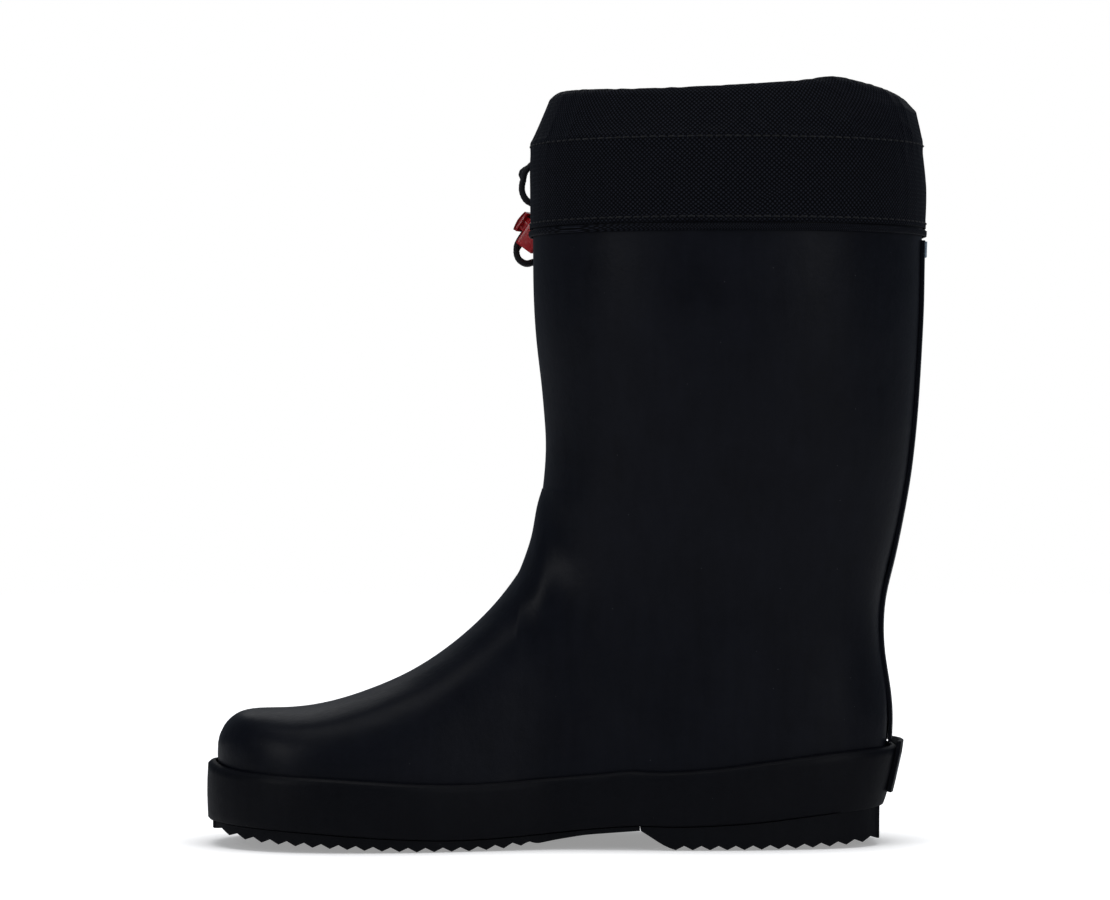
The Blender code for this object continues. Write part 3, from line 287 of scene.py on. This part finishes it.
def rubber(name, dark, light, rough_low, rough_high, pits=1.0):
    """Satin vulcanised rubber: faint bloom, uneven polish, fine orange peel and specks of dust."""
    look = Look(name, dark, rough_low, 0.15)
    bloom = look.noise(34, 5, 0.6)
    streak = look.noise(1.0, 4, 0.6, look.stretched((260, 260, 46)))
    patch = look.math("ADD", look.math("MULTIPLY", bloom, 0.65), look.math("MULTIPLY", streak, 0.35))
    skin = look.blend(look.remap(patch, 0.36, 0.66, 0, 1), (*dark, 1), (*light, 1))
    look.link("Base Color", look.blend(specks(look), skin, (0.045, 0.048, 0.055, 1)))
    fine = look.noise(420, 3, 0.6)
    polish = look.math("ADD", look.math("MULTIPLY", bloom, 0.7), look.math("MULTIPLY", fine, 0.3))
    look.link("Roughness", look.remap(polish, 0.3, 0.7, rough_low, rough_high))
    look.bump(look.noise(55, 2), 0.0011 * pits, 0.35)
    look.bump(look.noise(640, 3, 0.65), 0.00012 * pits, 0.6)
    return look


def nylon(name, uv, thread=0.00135):
    """Oxford-woven nylon: a plain weave of thick yarns with a coated sheen. Its colour follows the weave's
    height: painted shade in the hollows between yarns and a painted highlight on the yarn crowns.
    """
    look = Look(name, (0.006, 0.0065, 0.009), 0.5, 0.05)
    if uv:
        layer = look.node("ShaderNodeUVMap", uv_map="cloth").outputs["UV"]
        split = look.node("ShaderNodeSeparateXYZ", {0: layer})
        across, along = split.outputs[0], split.outputs[1]
    else:
        split = look.node("ShaderNodeSeparateXYZ", {0: look.place})
        flat = look.node("ShaderNodeMath", {0: split.outputs[0], 1: split.outputs[1]}, operation="ADD")
        across, along = flat.outputs[0], split.outputs[2]
    turn = math.pi / thread
    a = look.math("MULTIPLY", look.math("ADD", along, across), turn)
    b = look.math("MULTIPLY", look.math("SUBTRACT", along, across), turn)
    wave = look.math("MULTIPLY", look.math("SINE", a), look.math("SINE", b))
    height = look.math("ABSOLUTE", wave)
    fuzz = look.noise(1500, 2, 0.6)
    # Painted shade and highlight: the colour follows the weave's height, dark in the hollows between yarns
    # and light on their crowns, with a little random fuzz.
    light = look.remap(look.math("ADD", height, look.math("MULTIPLY", fuzz, 0.5)), 0.5, 1.25, 0, 1)
    look.tint(light, (0.0003, 0.0004, 0.0010), (0.026, 0.029, 0.041))
    look.link("Roughness", look.remap(wave, -1, 1, 0.42, 0.6))
    look.bump(height, 0.00016, 0.9)
    look.bump(look.noise(120, 3), 0.0004, 0.4)
    look.set("Sheen Weight", 0.015)
    look.set("Sheen Roughness", 0.5)
    look.set("Sheen Tint", (0.75, 0.8, 1.0, 1))
    return look


def yarn(name, colour, scale=1.0):
    look = Look(name, colour, 0.62, 0.25)
    fine = look.noise(2400 * scale, 2, 0.6)
    low = tuple(c * 0.6 for c in colour)
    high = tuple(c * 2.0 + 0.002 for c in colour)
    look.link("Base Color", look.blend(look.remap(fine, 0.3, 0.7, 0, 1), (*low, 1), (*high, 1)))
    look.bump(fine, 0.0001, 0.6)
    look.set("Sheen Weight", 0.15)
    return look


def red_plastic():
    look = Look("red plastic", (0.55, 0.006, 0.012), 0.18, 0.5)
    cloud = look.noise(160, 3)
    look.tint(look.remap(cloud, 0.35, 0.65, 0, 1), (0.5, 0.004, 0.010), (0.62, 0.010, 0.016))
    look.link("Roughness", look.remap(look.noise(900, 3), 0.3, 0.7, 0.13, 0.3))
    look.bump(look.noise(300, 2), 0.0002, 0.15)
    look.set("Coat Weight", 0.3)
    look.set("Coat Roughness", 0.1)
    return look


def steel():
    look = Look("steel", (0.6, 0.61, 0.63), 0.25, 0.5, 1.0)
    look.link("Roughness", look.remap(look.noise(1500, 3), 0.3, 0.7, 0.18, 0.42))
    return look


def black_metal():
    look = Look("black metal", (0.012, 0.012, 0.014), 0.32, 0.5, 0.6)
    wear = look.remap(look.noise(700, 4, 0.7), 0.62, 0.74, 0, 1)
    look.link("Base Color", look.blend(wear, (0.012, 0.012, 0.014, 1), (0.07, 0.065, 0.06, 1)))
    look.link("Roughness", look.remap(look.noise(900, 3), 0.3, 0.7, 0.24, 0.45))
    look.bump(look.noise(1200, 2), 0.00008, 0.4)
    return look


def reflective():
    """Pale retroreflective panel with a fine diamond cell pattern."""
    look = Look("reflective panel", (0.55, 0.62, 0.68), 0.3, 0.5)
    split = look.node("ShaderNodeSeparateXYZ", {0: look.place})
    up, side = split.outputs[2], split.outputs[1]
    a = look.math("SINE", look.math("MULTIPLY", look.math("ADD", up, side), 3900))
    b = look.math("SINE", look.math("MULTIPLY", look.math("SUBTRACT", up, side), 3900))
    cells = look.math("MULTIPLY", a, b)
    look.tint(look.remap(cells, -0.5, 0.5, 0, 1), (0.42, 0.5, 0.57), (0.66, 0.73, 0.78))
    look.link("Roughness", look.remap(look.noise(500, 3), 0.3, 0.7, 0.22, 0.4))
    look.bump(cells, 0.00004, 0.5)
    look.set("Coat Weight", 0.4)
    look.set("Coat Roughness", 0.12)
    return look


def knit():
    """Grey knitted lining: columns of small V stitches, with painted shade between the stitches and a
    painted highlight on their crowns.
    """
    look = Look("knit lining", (0.16, 0.165, 0.175), 0.85, 0.2)
    split = look.node("ShaderNodeSeparateXYZ", {0: look.place})
    around = look.math("ADD", look.math("MULTIPLY", split.outputs[0], 0.9), split.outputs[1])
    column = look.math("ABSOLUTE", look.math("SINE", look.math("MULTIPLY", around, 2600)))
    row = look.math("MULTIPLY", split.outputs[2], 4200)
    loop = look.math("SINE", look.math("ADD", row, look.math("MULTIPLY", column, 2.4)))
    height = look.math("ADD", look.math("MULTIPLY", column, 0.6), look.math("MULTIPLY", loop, 0.4))
    # Painted shade and highlight: the colour follows the stitch height, darker in the hollows between
    # stitches and lighter on the stitch crowns.
    look.tint(look.remap(height, -0.2, 0.9, 0, 1), (0.075, 0.078, 0.085), (0.25, 0.255, 0.27))
    look.bump(height, 0.0003, 0.8)
    look.bump(look.noise(2200, 3), 0.0001, 0.5)
    look.set("Sheen Weight", 0.3)
    return look


def foam():
    look = Look("foam", (0.05, 0.055, 0.065), 0.9, 0.2)
    cells = look.node("ShaderNodeTexVoronoi", {"Vector": look.place, "Scale": 900.0}).outputs["Distance"]
    look.link("Base Color", look.blend(cells, (0.03, 0.034, 0.04, 1), (0.085, 0.09, 0.1, 1)))
    look.bump(cells, 0.0002, 0.6)
    return look


def board():
    look = Look("fibre board", (0.2, 0.15, 0.1), 0.85, 0.2)
    fibre = look.noise(1.0, 4, 0.6, look.stretched((900, 200, 900)))
    look.link("Base Color", look.blend(fibre, (0.13, 0.095, 0.06, 1), (0.3, 0.24, 0.17, 1)))
    look.bump(fibre, 0.0001, 0.5)
    return look


def label():
    """Plain woven label in pale blue."""
    look = Look("woven label", (0.45, 0.58, 0.7), 0.6, 0.3)
    split = look.node("ShaderNodeSeparateXYZ", {0: look.place})
    rows = look.math("SINE", look.math("MULTIPLY", split.outputs[2], 14000))
    look.tint(look.remap(rows, -1, 1, 0, 1), (0.3, 0.43, 0.56), (0.55, 0.67, 0.77))
    look.bump(rows, 0.00006, 0.6)
    return look


# ---------------------------------------------------------------- smooth copies of CAD nodes


def link(name, mesh):
    thing = bpy.data.objects.new(name, mesh)
    bpy.context.scene.collection.objects.link(thing)
    return thing


def points_of(mesh):
    flat = np.empty(len(mesh.vertices) * 3)
    mesh.vertices.foreach_get("co", flat)
    return flat.reshape(-1, 3)


def set_points(mesh, points):
    mesh.vertices.foreach_set("co", np.asarray(points, float).ravel())
    mesh.update()


def evaluated_mesh(thing):
    graph = bpy.context.evaluated_depsgraph_get()
    return bpy.data.meshes.new_from_object(thing.evaluated_get(graph))


def welded(node, weld):
    """A bmesh of a CAD node with its corners joined and its triangles back in quads."""
    work = bmesh.new()
    work.from_mesh(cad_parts[node].data)
    bmesh.ops.remove_doubles(work, verts=work.verts, dist=weld)
    bmesh.ops.dissolve_degenerate(work, dist=1e-6, edges=work.edges)
    bmesh.ops.recalc_face_normals(work, faces=work.faces)
    bmesh.ops.join_triangles(
        work, faces=work.faces, angle_face_threshold=math.radians(35), angle_shape_threshold=math.radians(70)
    )
    return work


def refined(node, name, levels, sharp=38, weld=2e-5):
    """A smooth copy of a CAD node that still passes through the node's own corners."""
    work = welded(node, weld)
    crease = work.edges.layers.float.new("crease_edge")
    for edge in work.edges:
        if len(edge.link_faces) != 2 or edge.calc_face_angle(0) > math.radians(sharp):
            edge[crease] = 1.0
    mesh = bpy.data.meshes.new(name)
    work.to_mesh(mesh)
    work.free()
    thing = link(name, mesh)
    wanted = points_of(mesh)
    modifier = thing.modifiers.new("smooth", "SUBSURF")
    modifier.levels = modifier.render_levels = levels
    for _ in range(3):
        bpy.context.view_layer.update()
        limit = evaluated_mesh(thing)
        miss = wanted - points_of(limit)[: len(wanted)]
        bpy.data.meshes.remove(limit)
        set_points(mesh, points_of(mesh) + 0.8 * miss)
    bpy.context.view_layer.update()
    smooth = evaluated_mesh(thing)
    smooth.name = name
    thing.modifiers.clear()
    thing.data = smooth
    for face in smooth.polygons:
        face.use_smooth = True
    smooth.set_sharp_from_angle(angle=math.radians(sharp))
    return thing


def nudged(thing, shift):
    """Moves a glued-on piece along X by the given shift, towards the rubber."""
    set_points(thing.data, points_of(thing.data) + (shift, 0, 0))
    return thing


def dress(thing, look, body, node):
    """Gives a piece its material, and puts it in its CAD node's place."""
    thing.data.materials.clear()
    thing.data.materials.append(look.material)
    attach(thing, body)
    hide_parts(node)
    return thing


def repaint(node, look):
    """Shows a CAD node as it is, in its own material."""
    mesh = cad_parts[node].data
    mesh.materials.clear()
    mesh.materials.append(look.material)


def body_tree(thing):
    """A search tree of a thing's own mesh."""
    work = bmesh.new()
    work.from_mesh(thing.data)
    tree = BVHTree.FromBMesh(work)
    work.free()
    return tree


# ---------------------------------------------------------------- cuff


def outward_ways(count):
    """Level directions round the leg, closer together at its front and back."""
    turns = [k * 2 * math.pi / count for k in range(count)]
    return [Vector((-math.cos(a) * LEG_OVAL, math.sin(a), 0)).normalized() for a in turns]


def cuff_profile(tree, tops):
    """Rows of points up the cuff's outer face, over the fold and down its facing."""
    ways = outward_ways(CUFF_COLUMNS)
    shares = np.linspace(0, 1, CUFF_ROWS)
    rows = []
    for share in shares:
        row = []
        for way, top in zip(ways, tops):
            z = HEM_TOP + 0.0002 + (top - 0.0004 - HEM_TOP) * share
            middle = Vector((LEG_MIDDLE, 0, z))
            found = tree.ray_cast(middle + way * REACH, -way, REACH)[0]
            row.append(found if found else rows[-1][len(row)] + Vector((0, 0, 0.0008)))
        rows.append(row)
    return rows, ways


def cuff_tops(tree):
    """Height of the cuff's top edge in each outward way, found by halving."""
    tops = []
    for way in outward_ways(CUFF_COLUMNS):
        low, high = TOP_SEARCH
        for _ in range(16):
            z = (low + high) / 2
            found = tree.ray_cast(Vector((LEG_MIDDLE, 0, z)) + way * REACH, -way, REACH)[0]
            if found:
                low = z
            else:
                high = z
        tops.append(low)
    tops = np.array(tops)
    kernel = np.array([1, 2, 3, 2, 1]) / 9
    return np.convolve(np.concatenate([tops[-2:], tops, tops[:2]]), kernel, "valid")


def facing_rows(rows, ways, tops):
    """The fold and the facing that hangs inside it, down to the channel seam."""
    made = []
    for inset, share in ((0.0004, 1.002), (0.0013, 1.004), (0.0022, 0.998)):
        made.append(
            [
                p - w * inset + Vector((0, 0, (share - 1) * 0.1))
                for p, w in zip(rows[-1], ways)
            ]
        )
    for step in np.linspace(0.12, 1, FACING_ROWS):
        row = []
        for p, w, top in zip(rows[-1], ways, tops):
            z = top + (CHANNEL_Z - top) * step
            row.append(Vector((p.x, p.y, z)) - w * (0.0026 - 0.001 * max(0, step - 0.8) / 0.2))
        made.append(row)
    return made


def grid_mesh(name, rows):
    count = len(rows[0])
    mesh = bpy.data.meshes.new(name)
    points = [tuple(p) for row in rows for p in row]
    faces = []
    for r in range(len(rows) - 1):
        for c in range(count):
            d = (c + 1) % count
            faces.append((r * count + c, (r + 1) * count + c, (r + 1) * count + d, r * count + d))
    mesh.from_pydata(points, [], faces)
    return mesh


def cloth_uv(mesh, rows, columns, around, up):
    """Cloth coordinates in metres, so that the weave keeps its size."""
    layer = mesh.uv_layers.new(name="cloth")
    flat = np.empty((len(mesh.loops), 2))
    for face in mesh.polygons:
        r, c = divmod(face.index, columns)
        for loop, (i, j) in zip(face.loop_indices, ((r, c), (r + 1, c), (r + 1, c + 1), (r, c + 1))):
            flat[loop] = (j / columns * around, up[i])
    layer.data.foreach_set("uv", flat.ravel())


def make_cuff(leg):
    tree = body_tree(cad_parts["cuff_fabric"])
    tops = cuff_tops(tree)
    rows, ways = cuff_profile(tree, tops)
    rows += facing_rows(rows, ways, tops)
    mesh = grid_mesh("cuff", rows)
    thing = link("cuff", mesh)
    start = points_of(mesh)
    grid = start.reshape(len(rows), CUFF_COLUMNS, 3)
    around = np.linalg.norm(np.roll(grid[0], -1, 0) - grid[0], axis=1).sum()
    steps = np.linalg.norm(grid[1:] - grid[:-1], axis=2).mean(axis=1)
    up = np.concatenate([[0], np.cumsum(steps)])
    cloth_uv(mesh, len(rows), CUFF_COLUMNS, around, up)
    area = sum(face.area for face in mesh.polygons)
    pins = thing.vertex_groups.new(name="held")
    for index, point in enumerate(start):
        row = index // CUFF_COLUMNS
        weight = cuff_hold(row, point[2])
        if weight > 0:
            pins.add([index], weight, "REPLACE")
    relax_cuff(thing)
    settled = points_of(mesh)
    moved = settled - start
    size = np.linalg.norm(moved, axis=1, keepdims=True)
    settled = start + moved * np.minimum(1, MOST_BUCKLE / np.maximum(size, 1e-9))
    settled = kept_outside(start, settled, ways)
    set_points(mesh, clear_of_leg(puckered(settled, ways), leg))
    finish_cuff(thing)
    return thing, around, float(up[-1]), area


def kept_outside(start, settled, ways):
    """Cloth that sank inwards comes back out, clear of the cord in its channel."""
    outward = np.array(ways)[np.arange(len(start)) % CUFF_COLUMNS]
    sunk = ((settled - start) * outward).sum(axis=1, keepdims=True)
    return settled + outward * np.maximum(0, -MOST_SINK - sunk)


def puckered(points, ways):
    """Short gathers that rise from the hem where the stitching pulled the cloth up."""
    outward = np.array(ways)[np.arange(len(points)) % CUFF_COLUMNS]
    fade = np.exp(-(((points[:, 2] - HEM_TOP) / PUCKER_HEIGHT) ** 2)) * (points[:, 2] > HEM_TOP + 0.0008)
    rise = np.zeros(len(points))
    for middle, width, height in PUCKERS:
        lean = middle + (points[:, 2] - HEM_TOP) * 0.25
        rise += height * np.exp(-(((points[:, 0] - lean) / width) ** 2))
    return points + outward * (rise * fade)[:, None]


def cuff_hold(row, z):
    """How firmly a cloth point is held: sewn rows fully, the rest hardly."""
    if row <= 1:
        return 1.0
    if row >= CUFF_ROWS + 3:
        return 0.9
    near_seam = math.exp(-(((z - CHANNEL_Z) / 0.0012) ** 2))
    near_top = 0.5 if row >= CUFF_ROWS - 2 else 0.0
    return min(1.0, max(0.55 * near_seam, near_top, 0.03))


def relax_cuff(thing):
    """Lets slightly oversized cloth settle, so that it buckles between its seams."""
    scene = bpy.context.scene
    modifier = thing.modifiers.new("cloth", "CLOTH")
    settings = modifier.settings
    settings.quality = 6
    settings.mass = 0.12
    settings.tension_stiffness = 12
    settings.compression_stiffness = 12
    settings.shear_stiffness = 4
    settings.bending_stiffness = 0.14
    settings.tension_damping = 6
    settings.shrink_min = -0.024
    settings.vertex_group_mass = "held"
    settings.pin_stiffness = 0.6
    settings.effector_weights.gravity = 0.5
    modifier.point_cache.frame_start = 1
    modifier.point_cache.frame_end = 24
    modifier.collision_settings.use_collision = False
    modifier.collision_settings.use_self_collision = False
    for at in range(1, 25):
        scene.frame_set(at)
    settled = points_of(evaluated_mesh(thing))
    thing.modifiers.clear()
    set_points(thing.data, settled)
    scene.frame_set(1)


def clear_of_leg(points, leg):
    """Pushes points that came too near the rubber back outside it."""
    cleared = points.copy()
    for index, point in enumerate(points):
        if index >= CUFF_ROWS * CUFF_COLUMNS:
            break
        spot, way, _, gap = leg.find_nearest(Vector(point), 0.004)
        if spot is None:
            continue
        out = way.dot(Vector(point) - spot)
        if out < CLOTH_CLEAR:
            cleared[index] = np.array(Vector(point) + way * (CLOTH_CLEAR - out))
    return cleared


def finish_cuff(thing):
    """Rounds the cloth and gives it its thickness."""
    modifier = thing.modifiers.new("smooth", "SUBSURF")
    modifier.levels = modifier.render_levels = 1
    wall = thing.modifiers.new("thickness", "SOLIDIFY")
    wall.thickness = CLOTH_THICKNESS
    wall.offset = -1
    bpy.context.view_layer.update()
    made = evaluated_mesh(thing)
    made.name = "cuff"
    thing.modifiers.clear()
    thing.data = made
    for face in made.polygons:
        face.use_smooth = True


# ---------------------------------------------------------------- stitches


def ring_places(z, tree, count):
    """Even places round the leg on the surface at height z, with their outward ways."""
    found = []
    for way in outward_ways(count):
        spot, normal, _, _ = tree.ray_cast(Vector((LEG_MIDDLE, 0, z)) + way * REACH, -way, REACH)
        if spot:
            found.append((spot, normal))
    run = np.concatenate([[0], np.cumsum([(b[0] - a[0]).length for a, b in zip(found, found[1:])])])
    return found, run


def stitch(points, normals, width, height):
    """One stitch: a rounded thread that dives into the cloth at both ends."""
    verts = []
    faces = []
    count = len(points)
    for k, (p, n) in enumerate(zip(points, normals)):
        share = k / (count - 1)
        rise = math.sin(math.pi * share) ** 0.5
        along = (points[min(k + 1, count - 1)] - points[max(k - 1, 0)]).normalized()
        side = along.cross(n).normalized()
        middle = p + n * (height * rise - 0.0001)
        for j in range(6):
            t = 2 * math.pi * j / 6
            verts.append(middle + side * (math.cos(t) * width / 2) + n * (math.sin(t) * height / 2))
    for k in range(count - 1):
        for j in range(6):
            i = (j + 1) % 6
            faces.append((k * 6 + j, k * 6 + i, (k + 1) * 6 + i, (k + 1) * 6 + j))
    faces.append(tuple(range(5, -1, -1)))
    faces.append(tuple((count - 1) * 6 + j for j in range(6)))
    return verts, faces


def make_stitches(name, z, tree, look, node, length=0.0021, gap=0.0008):
    found, run = ring_places(z, tree, RING_COUNT)
    verts, faces = [], []
    at = 0.0005
    spots = np.array([f[0] for f in found])
    ways = np.array([f[1] for f in found])
    while at + length < run[-1]:
        line = np.linspace(at, at + length, 6)
        points = [Vector([np.interp(s, run, spots[:, k]) for k in range(3)]) for s in line]
        normals = [Vector([np.interp(s, run, ways[:, k]) for k in range(3)]).normalized() for s in line]
        v, f = stitch(points, normals, STITCH_WIDTH, STITCH_HEIGHT)
        base = len(verts)
        verts += v
        faces += [tuple(i + base for i in face) for face in f]
        at += length + gap
    mesh = bpy.data.meshes.new(name)
    mesh.from_pydata([tuple(v) for v in verts], [], faces)
    for face in mesh.polygons:
        face.use_smooth = True
    return dress(link(name, mesh), look, "boot", node)


# ---------------------------------------------------------------- cord


def smooth_route(route, step):
    """Points about step apart on a smooth curve through the route's points."""
    knots = [Vector(p) for p in route]
    ends = [knots[0] * 2 - knots[1], *knots, knots[-1] * 2 - knots[-2]]
    fine = []
    for a, b, c, d in zip(ends, ends[1:], ends[2:], ends[3:]):
        for k in range(12):
            t = k / 12
            square = (2 * a - 5 * b + 4 * c - d) * t**2
            cube = (3 * b - a - 3 * c + d) * t**3
            fine.append(0.5 * (2 * b + (c - a) * t + square + cube))
    fine.append(knots[-1])
    run = np.concatenate([[0], np.cumsum([(b - a).length for a, b in zip(fine, fine[1:])])])
    table = np.array(fine)
    count = max(2, round(run[-1] / step))
    places = np.linspace(0, run[-1], count + 1)
    return [Vector([np.interp(s, run, table[:, k]) for k in range(3)]) for s in places]


def braided_tube(name, path, radius, sides=32, lay=0.0021, relief=0.00011):
    """A plaited cord: two sets of yarns that cross over and under each other."""
    verts, faces = [], []
    run = 0.0
    side = None
    for k, point in enumerate(path):
        ahead = path[min(k + 1, len(path) - 1)] - path[max(k - 1, 0)]
        ahead.normalize()
        if side is None:
            side = ahead.orthogonal().normalized()
        side = (side - ahead * side.dot(ahead)).normalized()
        up = ahead.cross(side)
        if k:
            run += (point - path[k - 1]).length
        for j in range(sides):
            t = 2 * math.pi * j / sides
            turn = 2 * math.pi * run / lay
            over = math.sin(4 * t + turn) * math.sin(4 * t - turn)
            grow = radius - relief + relief * abs(over) ** 0.6 * 1.4
            verts.append(tuple(point + (side * math.cos(t) + up * math.sin(t)) * grow))
    rows = len(path)
    for k in range(rows - 1):
        for j in range(sides):
            i = (j + 1) % sides
            faces.append((k * sides + j, k * sides + i, (k + 1) * sides + i, (k + 1) * sides + j))
    faces.append(tuple(range(sides - 1, -1, -1)))
    faces.append(tuple((rows - 1) * sides + j for j in range(sides)))
    mesh = bpy.data.meshes.new(name)
    mesh.from_pydata(verts, [], faces)
    for face in mesh.polygons:
        face.use_smooth = True
    return link(name, mesh)


def make_drawcord(look):
    path = smooth_route(ROUTE, 0.00025)
    cord = braided_tube("cord", path, CORD / 2)
    dress(cord, look, "cord_loop", "drawcord")
    length = sum((b - a).length for a, b in zip(path, path[1:]))
    return cord, path, length


# ---------------------------------------------------------------- build

make_camera()
make_world()
make_floor()
make_lights()

RUBBER = rubber("boot rubber", (0.0034, 0.0042, 0.0078), (0.0068, 0.0080, 0.0135), 0.34, 0.48)
BAND_RUBBER = rubber("band rubber", (0.0016, 0.0020, 0.0042), (0.0036, 0.0042, 0.0072), 0.42, 0.56)
SOLE_RUBBER = rubber("sole rubber", (0.0018, 0.0022, 0.0040), (0.0042, 0.0048, 0.0074), 0.5, 0.66, 1.4)
CLOTH = nylon("cuff nylon", True)
TRIM = nylon("trim nylon", False, 0.0009)
BRAID = yarn("braided cord", (0.006, 0.006, 0.008))
THREAD = yarn("thread", (0.004, 0.0045, 0.0062), 1.6)
RED = red_plastic()
STEEL = steel()
METAL = black_metal()
PANEL = reflective()
KNIT = knit()
FOAM = foam()
BOARD = board()
LABEL = label()

shell = dress(refined("upper_shell", "shell", 2, 62), RUBBER, "boot", "upper_shell")
dress(refined("upper_lining", "lining", 1), KNIT, "boot", "upper_lining")
dress(nudged(refined("back_strip", "seam_strip", 2), -0.0008), RUBBER, "boot", "back_strip")
dress(nudged(refined("back_tag", "tag", 1), -0.0013), TRIM, "boot", "back_tag")
dress(nudged(refined("back_label", "flag", 1), -0.0011), LABEL, "boot", "back_label")
dress(refined("foxing_band", "foxing", 2, 30), BAND_RUBBER, "boot", "foxing_band")
dress(refined("outsole", "sole", 1, 28), SOLE_RUBBER, "boot", "outsole")
dress(refined("heel_block", "heel", 1, 28), SOLE_RUBBER, "boot", "heel_block")
dress(nudged(refined("heel_patch", "patch", 1), -0.0004), BAND_RUBBER, "boot", "heel_patch")
dress(nudged(refined("heel_patch_panel", "panel", 1), -0.0004), PANEL, "boot", "heel_patch_panel")
dress(refined("cuff_hem", "hem", 2), TRIM, "boot", "cuff_hem")
dress(refined("topline_tape", "tape", 1), TRIM, "boot", "topline_tape")
for node, look in (
    ("heel_filler", FOAM),
    ("insole_board", BOARD),
    ("footbed", FOAM),
    ("heel_counter", BOARD),
    ("eyelet_front", METAL),
    ("eyelet_rear", METAL),
    ("channel_cord", BRAID),
    ("lock_spring", STEEL),
):
    repaint(node, look)
dress(refined("lock_body", "toggle", 2, 60), RED, "cord_lock", "lock_body")
dress(refined("lock_jaw", "toggle_jaw", 2, 60), RED, "lock_button", "lock_jaw")

leg_tree = body_tree(shell)
cuff, around, height, area = make_cuff(leg_tree)
dress(cuff, CLOTH, "boot", "cuff_fabric")
cuff_tree = body_tree(cuff)
make_stitches("hem_stitches", 0.1938, cuff_tree, THREAD, "cuff_seam_thread")
make_stitches("channel_stitches", CHANNEL_Z - 0.0012, cuff_tree, THREAD, "channel_thread")

cord, path, length = make_drawcord(BRAID)
